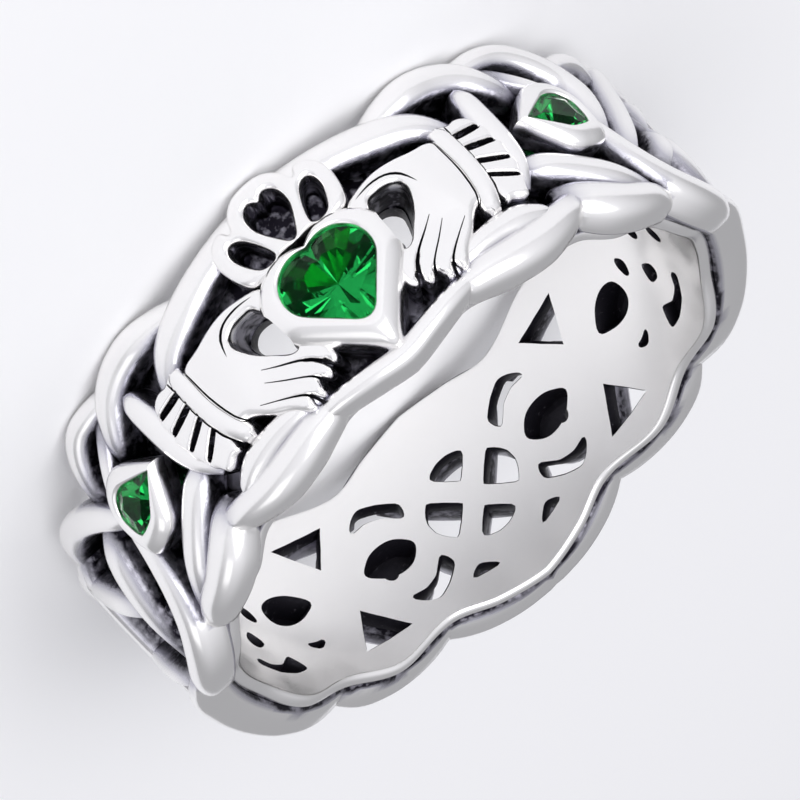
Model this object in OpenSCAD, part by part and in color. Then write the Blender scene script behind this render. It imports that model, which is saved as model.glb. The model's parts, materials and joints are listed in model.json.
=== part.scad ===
// A knotwork ring with a crowned heart held by two hands, cast in one piece of silver, with three set stones.
// Millimetres. The finger hole runs along Z, the heart faces -Y and its tip points to +Z.
// Angles go round the finger hole in degrees: 0 at the heart, positive towards +X.

/* [Ring] */
// Inside diameter of the ring, which is its finger size
inner_diameter = 17.3; // [16:0.1:19]
// Width of the band along the finger
band_width = 7.15; // [6.8:0.05:7.6]
// Thickness of the smooth inner sleeve
sleeve_wall = 0.5; // [0.4:0.05:0.6]
// Height of the strands above the finger hole
strand_height = 1.7; // [1.6:0.05:1.9]

/* [Heart] */
// Half of the distance between the centres of the heart stone's two lobes
heart_lobe_spread = 0.5; // [0.45:0.05:0.55]
// Radius of the heart stone's lobes
heart_lobe_radius = 0.95; // [0.85:0.05:1]
// How far the heart's rim stands above the strands
heart_rise = 0.55; // [0.4:0.05:0.7]

/* [Side stones] */
// Angle from the heart to the round end of each side stone
side_stone_angle = 49.1; // [48.5:0.1:49.5]
// Radius of a side stone's round end
side_stone_radius = 0.62; // [0.55:0.01:0.66]
// Distance from the middle of the round end to the stone's point
side_stone_reach = 1.25; // [1.15:0.05:1.3]

/* [Stone cut] */
// Clear space between a stone and its setting
stone_gap = 0.04; // [0.03:0.01:0.06]
// Share of a stone's outline that its table takes
table_share = 0.56; // [0.5:0.02:0.64]
// Depth of a stone below its girdle
pavilion_depth = 1; // [0.8:0.05:1.1]

/* [Hidden] */

// Columns of a strand's table: angle, height along Z, crest above or below the usual crest, width
ANGLE = 0;
HEIGHT = 1;
CREST = 2;
WIDTH = 3;

bore_r = inner_diameter / 2;
sleeve_r = bore_r + sleeve_wall;
crest_r = bore_r + strand_height;
// Every strand is rooted inside the sleeve's wall, so that the casting is one solid
root_r = bore_r + sleeve_wall / 2;
// The casting starts inside the finger hole, and the true bore is cut last
core_r = bore_r - 0.3;
// The back's middle lobe reaches further down at the far rim, so that the ring lies level on it
far_lobe_stretch = 1.075;
mm_per_degree = crest_r * PI / 180;
// The knot at the back is laid out from this angle
BACK = 180;

// A point at an angle, radius and height
function on_ring(angle, radius, height) = [radius * sin(angle), -radius * cos(angle), height];
function mix(a, b, t) = a + (b - a) * t;
function sum(list) = list * [for (item = list) 1];
function row_at(rows, i) = rows[min(max(i, 0), len(rows) - 1)];
// A smooth curve through four rows, at t between the second and the third
function spline(a, b, c, d, t) =
    0.5 * (2 * b + (c - a) * t + (2 * a - 5 * b + 4 * c - d) * t * t + (3 * b - a - 3 * c + d) * t * t * t);
function smooth_rows(rows, steps) = [
    for (i = [0 : len(rows) - 2])
        for (s = [0 : steps - 1])
            spline(row_at(rows, i - 1), rows[i], rows[i + 1], row_at(rows, i + 2), s / steps),
    rows[len(rows) - 1]
];
// Rows on one side of the middle at an angle, with their heights kept or turned over
function placed(rows, middle, side, flip = 1) = [
    for (row = rows) [middle + side * row[ANGLE], flip * row[HEIGHT], row[CREST], row[WIDTH]]
];

// Faces that join closed outlines of the same number of points into a tube, with flat ends or joined round
function tube_faces(outlines, points, closed) = concat(
    [for (i = [0 : outlines - (closed ? 1 : 2)])
        for (j = [0 : points - 1])
            let (a = i * points, b = ((i + 1) % outlines) * points, k = (j + 1) % points)
            each [[a + j, b + j, b + k], [a + j, b + k, a + k]]],
    closed ? [] : [
        [for (j = [0 : points - 1]) j],
        [for (j = [points - 1 : -1 : 0]) (outlines - 1) * points + j]
    ]
);

// Section of a strand: share of the half width to each side, share of the height from root to crest
strand_section = [[1, 0], [0.9, 0.72], [0, 1], [-0.9, 0.72], [-1, 0]];
// Section of a small strand
fine_section = [[1, 0], [0.75, 0.97], [-0.75, 0.97], [-1, 0]];

function strand_points(rows, section, closed) = [
    for (i = [0 : len(rows) - 1])
        let (
            last = len(rows) - 1,
            here = rows[i],
            before = closed && i == 0 ? rows[last] : row_at(rows, i - 1),
            after = closed && i == last ? rows[0] : row_at(rows, i + 1),
            run = (after[ANGLE] - before[ANGLE]) * mm_per_degree,
            rise = after[HEIGHT] - before[HEIGHT],
            travel = norm([run, rise])
        )
        for (corner = section)
            let (aside = corner[0] * here[WIDTH] / 2)
            on_ring(
                here[ANGLE] - aside * rise / travel / mm_per_degree,
                mix(root_r, crest_r + here[CREST], corner[1]),
                here[HEIGHT] + aside * run / travel
            )
];

// A strand of the casting along the rows of its table, or round a closed loop of rows
module strand(rows, steps = 1, section = strand_section, closed = false) {
    path = closed ? rows : smooth_rows(rows, steps);
    polyhedron(strand_points(path, section, closed), tube_faces(len(path), len(section), closed));
}
module front_pair(rows, steps = 1, section = strand_section) {
    for (side = [-1, 1]) strand(placed(rows, 0, side), steps, section);
}
module back_pair(rows, flip = 1, section = fine_section, closed = false) {
    for (side = [-1, 1]) strand(placed(rows, BACK, side, flip), 1, section, closed);
}

// Strands round the heart
heart_base_strand = [
    [-17, 2.6, -0.35, 0.5], [-12, 2.78, -0.1, 0.62], [-6, 3.02, 0, 0.66], [0, 3.18, 0, 0.7],
    [6, 3.02, 0, 0.66], [12, 2.78, -0.1, 0.62], [17, 2.6, -0.35, 0.5]
];
frame_strand = [
    [-33, -0.9, -0.5, 0.6], [-30.5, -1.55, -0.2, 0.85], [-26.5, -2.1, -0.05, 1], [-20, -2.5, -0.05, 1.05],
    [-10, -2.85, -0.1, 0.85], [0, -3.0, -0.15, 0.8], [10, -2.85, -0.1, 0.85], [20, -2.5, -0.05, 1.05],
    [26.5, -2.1, -0.05, 1], [30.5, -1.55, -0.2, 0.85], [33, -0.9, -0.5, 0.6]
];
// Strands that are alike on both sides of the heart
shoulder_strand = [
    [20, -2.75, -0.5, 0.6], [25, -2.95, -0.25, 0.9], [30, -3.07, 0, 1.05], [35, -3.07, 0, 1.1],
    [39.5, -2.85, 0, 1.05], [43, -2.45, -0.05, 0.95], [46, -2.0, -0.2, 0.8], [48.5, -1.6, -0.5, 0.6]
];
link_strand = [
    [42, -3.2, -0.6, 0.5], [48.5, -2.15, -0.2, 0.5], [53.4, -1.05, 0, 0.5], [55.5, -0.1, 0, 0.5],
    [57.6, 0.85, 0, 0.75], [61.5, 1.98, 0, 1.05], [68, 2.75, 0, 1.15], [76, 2.95, -0.05, 1], [83.5, 2.8, -0.32, 0.8]
];
near_side_strand = [
    [14.5, 2.6, -0.3, 0.7], [19, 2.75, -0.1, 0.9], [25, 2.88, 0, 1], [31, 2.78, 0, 0.95], [37, 2.5, -0.1, 0.8],
    [40, 2.35, -0.4, 0.5]
];
near_leaf = [[14, 2.15, -0.2, 0.4], [20, 2.15, 0.02, 0.55], [27, 2.2, 0.04, 0.55], [33, 2.25, -0.1, 0.3]];
lower_bar = [
    [37, 0.65, -0.25, 0.45], [39.5, 0.85, -0.05, 0.75], [45, 1.45, 0, 0.85], [51, 2.05, -0.05, 0.9],
    [57, 2.5, -0.3, 0.8], [61, 2.7, -0.6, 0.6]
];
near_shoulder_strand = [
    [37, 2.3, -0.45, 0.6], [41, 2.45, -0.15, 0.9], [46, 2.85, 0, 1.1], [51, 3.0, 0, 1.05], [56, 2.95, -0.1, 0.95],
    [61, 2.85, -0.4, 0.8]
];
sickle_leaf = [
    [37.2, -2.4, -0.2, 0.45], [37.4, -1.9, 0, 0.78], [37.6, -0.8, 0.05, 0.88], [36.8, 0.3, 0.02, 0.72],
    [35, 1.0, -0.05, 0.5], [32.6, 1.75, -0.2, 0.3]
];
// On the right the rising strand lies on top of the outer one, and on the left the outer one lies on top
right_outer_strand = [
    [41, -3.1, -0.4, 0.6], [46, -3.18, -0.1, 0.75], [50, -3.18, 0, 0.8], [54, -2.9, -0.05, 0.85],
    [57.5, -2.35, -0.2, 0.8], [60.5, -1.7, -0.45, 0.7], [64, -0.9, -0.45, 0.7]
];
right_rising_strand = [
    [54.5, -0.5, -0.2, 0.5], [57.5, -1.0, -0.02, 0.75], [61, -1.6, 0.05, 0.9], [65, -2.1, 0.05, 0.95],
    [69, -2.45, 0.02, 0.95], [74, -2.7, 0, 0.95], [79, -2.75, -0.1, 0.9], [84, -2.6, -0.3, 0.8]
];
right_broad_strand = [
    [63, -1.5, -0.4, 0.7], [66, -0.8, -0.05, 1], [69.5, 0.1, 0, 1.15], [72.5, 1.05, -0.1, 1.1], [75.5, 2.0, -0.35, 1],
    [79, 2.7, -0.6, 0.8]
];
right_cross_strand = [
    [68, 1.6, -0.6, 0.7], [73, 0.6, -0.3, 0.85], [78, -0.4, 0, 0.95], [83, -1.3, 0, 0.95], [88, -2.1, -0.1, 0.9],
    [93, -2.7, -0.4, 0.8]
];
left_outer_strand = [
    [41, -3.1, -0.4, 0.6], [46, -3.16, -0.1, 0.7], [51, -3.05, 0.02, 0.75], [56, -2.6, 0.05, 0.9],
    [60, -1.9, 0.05, 1.05], [61.4, -1.0, 0.05, 1.05], [59.8, -0.1, -0.1, 0.9], [57, 0.7, -0.4, 0.7]
];
left_rising_strand = [
    [57, 1.9, -0.6, 0.7], [61, 1.15, -0.25, 0.8], [65, 0.35, -0.05, 0.9], [69.5, -0.6, 0, 0.95], [74, -1.6, 0, 0.95],
    [79, -2.4, 0, 0.95], [84, -2.75, -0.3, 0.8]
];
left_broad_strand = [
    [62, -2.3, -0.45, 0.7], [66.5, -2.6, -0.1, 0.85], [71.5, -2.5, -0.05, 0.9], [76, -1.6, -0.35, 0.9],
    [79, -0.6, -0.3, 1], [81.5, 0.6, 0, 1.1], [84, 1.7, -0.1, 1], [88, 2.6, -0.4, 0.8]
];
left_cross_strand = [
    [64, 2.2, -0.6, 0.7], [69, 1.5, -0.3, 0.8], [75, 0.7, 0, 0.9], [80, -0.2, -0.3, 0.9], [86, -1.4, 0, 0.95],
    [93, -2.6, -0.4, 0.8]
];

// Strands of the knot at the back, whose angles count from BACK and are drawn on both sides of it
back_circle = [for (turn = [0 : 36 : 324]) [11.6 * cos(turn), -1.78 * sin(turn), 0, 0.6]];
back_diagonal = [
    [14, -2.2, -0.4, 0.6], [9, -1.45, -0.1, 0.7], [4, -0.62, -0.02, 0.7], [0, 0, 0, 0.7], [-4, 0.62, -0.02, 0.7],
    [-9, 1.45, -0.1, 0.7], [-14, 2.2, -0.4, 0.6]
];
back_middle_lobe = [
    [-1, 3.02, 0, 0.72], [6, 2.96, 0, 0.72], [12, 2.75, 0, 0.75], [17, 2.45, -0.05, 0.75], [23, 2.1, -0.4, 0.6]
];
back_second_lobe = [
    [18, 2.2, -0.4, 0.6], [24, 2.42, -0.05, 0.75], [30, 2.62, 0, 0.75], [36, 2.68, 0, 0.75], [42, 2.58, -0.05, 0.75],
    [49, 2.3, -0.4, 0.6]
];
back_third_lobe = [
    [45, 2.3, -0.45, 0.6], [53, 2.58, 0, 0.75], [62, 2.7, 0, 0.75], [71, 2.6, 0, 0.75], [82, 2.45, 0, 0.75],
    [92, 2.45, 0, 0.75], [101, 2.45, -0.45, 0.6]
];
eye_loop = [
    [28.8, 0, -0.1, 0.5], [25.3, -0.78, 0, 0.5], [21, -1.02, 0, 0.55], [17, -0.85, 0, 0.55], [14.2, 0, -0.1, 0.55],
    [17, 0.85, 0, 0.55], [21, 1.02, 0, 0.55], [25.3, 0.78, 0, 0.5]
];
eye_floor = [[14, 0, -0.4, 1.3], [21, 0, -0.4, 1.5], [28, 0, -0.4, 1.1]];
cross_strand = [
    [20, -2.4, -0.4, 0.6], [25.5, -1.75, -0.05, 0.75], [30, -0.9, 0, 0.78], [34, -0.05, 0, 0.78],
    [38, 0.8, 0, 0.78], [42.5, 1.7, -0.05, 0.75], [48, 2.4, -0.4, 0.6]
];
second_eye_loop = [
    [40.4, -0.1, -0.1, 0.5], [44.8, 0.68, 0, 0.5], [51, 0.72, 0, 0.5], [55.2, -0.15, -0.1, 0.5],
    [51, -1.02, 0, 0.5], [44.8, -0.94, 0, 0.5]
];
second_eye_floor = [[41, -0.15, -0.4, 1.1], [48, -0.15, -0.4, 1.5], [55, -0.15, -0.4, 1.2]];
small_circle = [for (turn = [0 : 45 : 315]) [64 + 8.4 * cos(turn), -0.1 - 1.32 * sin(turn), -0.02, 0.5]];
flank_falling = [
    [68, -2.4, -0.4, 0.6], [74, -1.8, -0.05, 0.75], [80, -0.7, 0, 0.8], [86, 0.5, 0, 0.8], [92, 1.6, -0.05, 0.8],
    [98, 2.4, -0.4, 0.6]
];
flank_rising = [
    [74, 2.4, -0.4, 0.6], [79, 1.6, -0.05, 0.75], [84, 0.3, -0.02, 0.8], [88.5, -0.9, -0.02, 0.8], [94, -2, -0.05, 0.8],
    [100, -2.6, -0.4, 0.6]
];

// Openings at the back, where they show on the inside of the sleeve: [angle from BACK, height]
sector_opening = [[-4.2, -1.2], [-2.2, -1.38], [0, -1.43], [2.2, -1.38], [4.2, -1.2], [0, -0.57]];
square_opening = [[8, -0.68], [10.2, -0.3], [10.6, 0], [10.2, 0.3], [8, 0.72], [3, 0.03]];
arc_opening = [
    [13, -0.83], [12, -1.25], [15.5, -1.65], [19, -1.87], [21.5, -1.7], [23.5, -1.38], [19.8, -1.45], [16.5, -1.3]
];
small_opening = [[11.5, 2.03], [8.8, 1.82], [5.7, 2.2]];
eye_opening = [
    [27.3, 0], [25.6, -0.27], [23.5, -0.45], [21, -0.52], [18.5, -0.47], [16.6, -0.28], [15.4, 0],
    [16.6, 0.28], [18.5, 0.47], [21, 0.52], [23.5, 0.45], [25.6, 0.27]
];
triangle_opening = [[39.3, -2.12], [28, -2.05], [34, -0.95]];
second_eye_opening = [
    [53.8, -0.1], [53, -0.45], [50.5, -0.64], [47.5, -0.66], [44.5, -0.5], [41.8, -0.1], [44.5, 0.18],
    [47.5, 0.33], [50.5, 0.35], [53, 0.2]
];
crescent_opening = [[50.7, 1.2], [48.2, 1.26], [45.8, 1.24], [48.2, 1.47]];
long_crescent_opening = [
    [70, 1.6], [68.7, 1.42], [66, 1.7], [62, 1.75], [58.3, 1.45], [56, 1.97], [60, 2.06], [65, 1.95]
];
lens_opening = [[58.2, -0.7], [60, -0.35], [58, 0.02], [57.2, -0.3]];
wedge_opening = [[65.8, 0.65], [63.2, 0.3], [61.5, 0.8], [64.5, 0.95]];
slot_opening = [[-0.9, 0.25], [-1.1, -0.3], [0.9, -0.25], [1.1, 0.3]];
slot_places = [[57.8, -2.25], [63, -1.3], [69.3, -0.38], [75.8, 0.57]];
// Hole drilled through the floor of an eye: [angle from BACK, height, radius]
eye_drill = [23.2, 0.32, 0.26];

function moved(outline, middle, side = 1, flip = 1, by = [0, 0]) =
    [for (p = outline) [middle + side * (p[0] + by[0]), flip * (p[1] + by[1])]];
function circle_outline(radius, sides) =
    [for (i = [0 : sides - 1]) [radius / mm_per_degree * cos(360 * i / sides), radius * sin(360 * i / sides)]];

// A cutter from one radius to another, with an outline of angles and heights
module opening(outline, from_r = core_r - 0.2, to_r = crest_r + 0.6) {
    n = len(outline);
    turn = [for (i = [0 : n - 1]) let (k = (i + 1) % n) outline[i][0] * outline[k][1] - outline[k][0] * outline[i][1]];
    ordered = sum(turn) > 0 ? outline : [for (i = [n - 1 : -1 : 0]) outline[i]];
    polyhedron([for (r = [from_r, to_r]) for (p = ordered) on_ring(p[0], r, p[1])], tube_faces(2, n, false));
}

module back_openings() {
    eye_top = sleeve_r + 0.3;
    for (side = [-1, 1]) {
        for (flip = [-1, 1]) {
            opening(moved(arc_opening, BACK, side, flip));
            opening(moved(triangle_opening, BACK, side, flip));
        }
        for (outline = [square_opening, small_opening, crescent_opening, long_crescent_opening, lens_opening, wedge_opening])
            opening(moved(outline, BACK, side));
        for (place = slot_places) opening(moved(slot_opening, BACK, side, 1, place));
        opening(moved(eye_opening, BACK, side), core_r - 0.2, eye_top);
        opening(moved(second_eye_opening, BACK, side), core_r - 0.2, eye_top);
        opening(moved(circle_outline(eye_drill[2], 8), BACK, side, 1, [eye_drill[0], eye_drill[1]]));
    }
    for (flip = [-1, 1]) opening(moved(sector_opening, BACK, 1, flip));
}

// The two rims of the sleeve: [angle from the heart, near rim, far rim], alike on both sides
sleeve_rims = [
    [0, 3.3, -3.1], [13.6, 2.85, -2.9], [24.4, 3.15, -2.95], [34.3, 2.9, -3.2], [41.6, 2.8, -3.15], [49.3, 3.1, -3.2],
    [61.7, 2.9, -2.7], [73.4, 3.1, -2.9], [87.3, 2.75, -2.7], [103.2, 2.7, -2.75], [117.3, 3.1, -3.1],
    [131.6, 2.8, -2.85], [144.6, 3.1, -3.1], [159.7, 2.65, -2.73], [169.6, 3.1, -3.15], [180, 3.4, -3.42]
];
module sleeve() {
    half = smooth_rows(sleeve_rims, 1);
    last = len(half) - 1;
    rims = concat(half, [for (i = [last - 1 : -1 : 1]) [360 - half[i][0], half[i][1], half[i][2]]]);
    points = [for (rim = rims) each [
        on_ring(rim[0], core_r, rim[2]), on_ring(rim[0], core_r, rim[1]),
        on_ring(rim[0], sleeve_r, rim[1]), on_ring(rim[0], sleeve_r, rim[2])
    ]];
    polyhedron(points, tube_faces(len(rims), 4, true));
}

// A heart's outline in millimetres, from its notch round the right lobe to the tip and back: lobes at -Y, tip at +Y
function heart_outline(spread, radius, lobe_y, tip_y, arc_steps = 7) =
    let (
        notch = [0, lobe_y - sqrt(radius * radius - spread * spread)],
        from = atan2(notch[1] - lobe_y, -spread),
        to = atan2(tip_y - lobe_y, -spread) - acos(radius / norm([spread, tip_y - lobe_y])),
        arc = [for (i = [1 : arc_steps]) let (a = mix(from, to, i / arc_steps))
            [spread + radius * cos(a), lobe_y + radius * sin(a)]],
        right = concat(arc, [(arc[arc_steps - 1] + [0, tip_y]) / 2])
    )
    concat([notch], right, [[0, tip_y]], [for (i = [len(right) - 1 : -1 : 0]) [-right[i][0], right[i][1]]]);

// A pear's outline in millimetres, with its round end at the origin and its point at [-reach, point_y]
function pear_outline(radius, reach, point_y, squash = 1, arc_steps = 12) =
    let (
        distance = norm([reach / squash, point_y]),
        toward = atan2(point_y, -reach / squash),
        half = acos(radius / distance),
        arc = [for (i = [0 : arc_steps]) let (a = toward + half + (360 - 2 * half) * i / arc_steps)
            [squash * radius * cos(a), radius * sin(a)]]
    )
    concat([[-reach, point_y]], arc);

function on_crest(outline, middle, height, radius, side = 1) =
    [for (p = outline) on_ring(side * (middle + p[0] / mm_per_degree), radius, height + p[1])];
function crest_angles(outline, middle, height, side = 1) =
    [for (p = outline) [side * (middle + p[0] / mm_per_degree), height + p[1]]];
function turned(points, side) = side > 0 ? points : [for (i = [len(points) - 1 : -1 : 0]) points[i]];

// Rim of a setting: [share of the way from the outer to the inner outline, height of the crest above the strands]
rim_profile = [
    [0, -1.45], [0, -0.3], [0.1, 0.3], [0.35, 0.57], [0.8, 0.54], [1, 0.3], [1, 0.05], [1.2, -0.2], [1.2, -1.45]
];

// The heart's outer and inner outlines: [lobe spread, lobe radius, lobe height, tip height]
heart_outer = [0.85, 1.3, 0.2, 3];
heart_inner = [heart_lobe_spread, heart_lobe_radius + stone_gap, 0.3, 2.2 + 1.4 * stone_gap];
function heart_level(t) = let (h = mix(heart_outer, heart_inner, t)) heart_outline(h[0], h[1], h[2], h[3]);
module heart_collet() {
    levels = [for (p = rim_profile) on_crest(heart_level(p[0]), 0, 0, crest_r + p[1] * heart_rise / 0.55)];
    polyhedron([for (level = levels) each level], tube_faces(len(levels), len(levels[0]), true));
}

// The side settings' outer and inner outlines: [radius, reach, height of the point, squash]
pear_outer = [1.3, 1.66, -0.15, 0.8];
pear_inner = [side_stone_radius + stone_gap, side_stone_reach + 2 * stone_gap, -0.05, 1];
pear_height = -0.28;
pear_rise = 0.3;
function pear_level(t) = let (p = mix(pear_outer, pear_inner, t)) pear_outline(p[0], p[1], p[2], p[3]);
module pear_collet(side) {
    levels = [for (p = rim_profile)
        turned(on_crest(pear_level(p[0]), side_stone_angle, pear_height, crest_r + p[1] * pear_rise / 0.55, side), side)];
    polyhedron([for (level = levels) each level], tube_faces(len(levels), len(levels[0]), true));
}

// A flat pad with an outline of angles and heights, from the root to a height above the crest
module pad(outline, rise) {
    middle = sum([for (p = outline) p[0]]) / len(outline);
    intersection() {
        rotate([0, 0, middle]) rotate([90, 0, 0]) linear_extrude(height = crest_r + 1)
            polygon([for (p = outline) [crest_r * sin(p[0] - middle), p[1]]]);
        difference() {
            translate([0, 0, -5]) cylinder(h = 10, r = crest_r + rise, $fn = 72);
            translate([0, 0, -6]) cylinder(h = 12, r = root_r, $fn = 36);
        }
    }
}

crown_half = [
    [3, -0.9], [7, -1.0], [9.6, -1.15], [10.9, -1.55], [11.4, -2.0], [11.2, -2.4], [10.2, -2.75], [8.3, -2.95],
    [6.4, -2.92], [5.2, -3.12], [3.4, -3.36], [1.5, -3.44]
];
crown_heart_hole = [
    [0, -2.82], [1.3, -2.97], [2.7, -2.9], [3.4, -2.6], [3.2, -2.2], [1.9, -1.75], [0, -1.4],
    [-1.9, -1.75], [-3.2, -2.2], [-3.4, -2.6], [-2.7, -2.9], [-1.3, -2.97]
];
crown_side_hole = [[7.2, -2.5], [8.5, -2.35], [8.6, -2.05], [7.5, -1.55], [6.2, -1.32], [3.4, -1.35], [4.4, -1.8], [5.8, -2.3]];
module crown() {
    hole_floor = sleeve_r + 0.15;
    difference() {
        pad(concat(crown_half, [for (i = [len(crown_half) - 1 : -1 : 0]) [-crown_half[i][0], crown_half[i][1]]]), 0.12);
        opening(crown_heart_hole, hole_floor, crest_r + 1);
        for (side = [-1, 1]) opening(moved(crown_side_hole, 0, side), hole_floor, crest_r + 1);
    }
}

// A hand: its palm, the thumb over the opening, and the fingers
palm = [
    [26.5, -1.1], [21, -1.2], [19, -0.9], [18.2, -0.45], [17.2, 0.05], [15.2, 0.5], [12.2, 0.98], [10, 1.1], [9, 1.7],
    [12, 2.2], [16, 2.3], [20.5, 1.75], [24.5, 1.2], [26.5, 0.9]
];
thumb = [[23, -0.85, -0.05, 0.6], [18.5, -1.15, 0.05, 0.55], [13, -1.17, 0.03, 0.52], [8, -0.9, -0.1, 0.45]];
fingers = [
    [[21.5, -0.2, 0, 0.5], [17.5, 0.6, 0.1, 0.55], [12.5, 1.35, 0.12, 0.55], [8, 1.85, 0.05, 0.4]],
    [[22, 0.3, 0.03, 0.45], [18, 1.05, 0.07, 0.5], [13.5, 1.75, 0.1, 0.48], [10, 2.1, 0.02, 0.35]],
    [[22.5, 0.7, -0.03, 0.42], [18.5, 1.45, 0.06, 0.42], [15, 2.0, 0.06, 0.42], [12.8, 2.35, 0, 0.3]],
    [[23.5, 1.0, -0.05, 0.4], [20, 1.6, 0.02, 0.42], [17, 2.15, 0, 0.4], [15.4, 2.42, -0.05, 0.3]]
];
wrist_bar = [
    [26.8, -1.4, 0, 0.4], [27.3, -0.9, 0.2, 0.58], [27.7, 0, 0.25, 0.62], [27.1, 0.9, 0.2, 0.58], [25.7, 1.5, 0, 0.4]
];
cuff = [
    [28.5, -1.2], [30, -1.38], [32.5, -1.42], [34.6, -1.28], [35.5, -0.9], [35.6, -0.3], [35.3, 0.45], [34, 1.05],
    [32.4, 1.68], [30, 1.5], [28.5, 1.2]
];
// Slots between the cuff's pleats: [height at the wrist, height at the hem]
cuff_slots = [[-0.9, -0.98], [-0.44, -0.38], [0.05, 0.22], [0.55, 0.85]];
module hand(side) {
    pad(moved(palm, 0, side), -0.02);
    strand(placed(thumb, 0, side), 1, fine_section);
    for (finger = fingers) strand(placed(finger, 0, side), 1, fine_section);
    strand(placed(wrist_bar, 0, side));
    difference() {
        pad(moved(cuff, 0, side), 0.08);
        for (slot = cuff_slots) opening(
            moved([[29.6, slot[0] - 0.1], [34.6, slot[1] - 0.1], [34.6, slot[1] + 0.12], [29.6, slot[0] + 0.1]], 0, side),
            crest_r - 0.45
        );
    }
}
// Opening between the thumb and the palm
thumb_opening = [
    [18.2, -0.5], [17.6, -0.75], [15.8, -0.88], [13, -0.82], [12, -0.7], [12.3, 0], [12, 0.95], [13.5, 0.72], [15.3, 0.42],
    [17.2, 0]
];

module front_strands() {
    strand(heart_base_strand);
    strand(frame_strand);
    for (rows = [shoulder_strand, link_strand, near_side_strand, near_leaf, lower_bar, near_shoulder_strand, sickle_leaf])
        front_pair(rows);
    for (rows = [right_outer_strand, right_rising_strand, right_broad_strand, right_cross_strand]) strand(rows);
    for (rows = [left_outer_strand, left_rising_strand, left_broad_strand, left_cross_strand])
        strand(placed(rows, 0, -1));
}
module back_strands() {
    strand(placed(back_circle, BACK, 1), 1, fine_section, true);
    back_pair(back_diagonal);
    back_pair(back_middle_lobe);
    back_pair(back_middle_lobe, -far_lobe_stretch);
    for (flip = [-1, 1])
        for (rows = [back_second_lobe, back_third_lobe, cross_strand]) back_pair(rows, flip);
    for (rows = [eye_loop, second_eye_loop, small_circle]) back_pair(rows, 1, fine_section, true);
    for (rows = [eye_floor, second_eye_floor, flank_falling, flank_rising]) back_pair(rows);
}
// Rooms for the settings, which end inside the settings' own walls
module setting_wells() {
    in_wall = 0.45;
    opening(crest_angles(heart_level(in_wall), 0, 0), root_r - 0.2);
    for (side = [-1, 1]) opening(crest_angles(pear_level(in_wall), side_stone_angle, pear_height, side), root_r - 0.2);
}
module casting() {
    difference() {
        union() {
            sleeve();
            back_strands();
            difference() {
                union() {
                    front_strands();
                    crown();
                    for (side = [-1, 1]) hand(side);
                }
                setting_wells();
            }
            heart_collet();
            for (side = [-1, 1]) pear_collet(side);
        }
        back_openings();
        for (side = [-1, 1]) opening(moved(thumb_opening, 0, side));
    }
}
module ring_body() {
    color("silver") difference() {
        resize([0, 0, band_width]) casting();
        translate([0, 0, -band_width]) cylinder(h = 2 * band_width, r = bore_r, $fn = 180);
    }
}

// Share of a stone's outline that the ring of facets half-way down its back takes, and that ring's share of the depth
back_share = 0.55;
back_level = 0.55;
girdle_half = 0.03;

// A stone with its outline flat on XY and its table up: kite and star facets above the girdle, and a pointed back.
// The outline has an even number of corners, and every second one carries a corner of the table.
module cut_stone(outline, centre, girdle, table) {
    corners = len(outline);
    half = corners / 2;
    function ring(first, step, share, height) =
        [for (i = [first : step : corners - 1]) let (p = centre + share * (outline[i] - centre)) [p[0], p[1], height]];
    lower = half;
    upper = lower + corners;
    top = upper + corners;
    culet = top + half;
    points = concat(
        ring(0, 2, back_share, girdle - back_level * pavilion_depth),
        ring(0, 1, 1, girdle - girdle_half),
        ring(0, 1, 1, girdle + girdle_half),
        ring(1, 2, table_share, table),
        [[centre[0], centre[1], girdle - pavilion_depth]]
    );
    polyhedron(points, concat(
        [[for (i = [half - 1 : -1 : 0]) top + i]],
        [for (i = [0 : half - 1])
            let (next = (i + 1) % half, a = 2 * i, b = a + 1, c = 2 * next)
            each [
                [culet, i, next], [i, lower + a, lower + b], [i, lower + b, next], [next, lower + b, lower + c],
                [lower + a, upper + a, upper + b], [lower + a, upper + b, lower + b],
                [lower + b, upper + b, upper + c], [lower + b, upper + c, lower + c],
                [upper + a, top + i, upper + b], [upper + b, top + i, upper + c], [upper + c, top + i, top + next]
            ]]
    ));
}

// A stone set upright in the ring's crest at an angle from the heart, alike on both sides
module set_stone(outline, centre, girdle, table, angle = 0, height = 0, side = 1) {
    mirror([side > 0 ? 0 : 1, 0, 0]) rotate([0, 0, angle]) translate([0, -crest_r, height]) rotate([90, 0, 0])
        cut_stone(outline, centre, girdle, table);
}

// Heights above the strands' crest: [girdle, table]
heart_levels = [0.36, 0.6];
pear_levels = [0.16, 0.38];
heart_centre = [0, 0.6];
pear_centre = [-0.1, 0];
module heart_stone() {
    color("green")
        set_stone(heart_outline(heart_lobe_spread, heart_lobe_radius, 0.3, 2.2), heart_centre, heart_levels[0], heart_levels[1]);
}
module side_stone(side) {
    color("green") set_stone(
        pear_outline(side_stone_radius, side_stone_reach, -0.05, 1, 10), pear_centre, pear_levels[0], pear_levels[1],
        side_stone_angle, pear_height, side
    );
}
// The left and the right as seen by someone who looks at the heart with its tip up
module side_stone_left() { side_stone(-1); }
module side_stone_right() { side_stone(1); }

ring_body();
heart_stone();
side_stone_left();
side_stone_right();
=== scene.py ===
# %% [markdown]
# This lesson dresses a cast silver ring: a heart under a crown, held by two hands, on a band of knotwork.
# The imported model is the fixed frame. Everything here is measured in millimetres round the finger hole and
# turned to metres at the very end, because Blender's own unit is the metre.

# %% The frame
import json
import math

import bmesh
import bpy
from mathutils import Matrix, Vector

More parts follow.
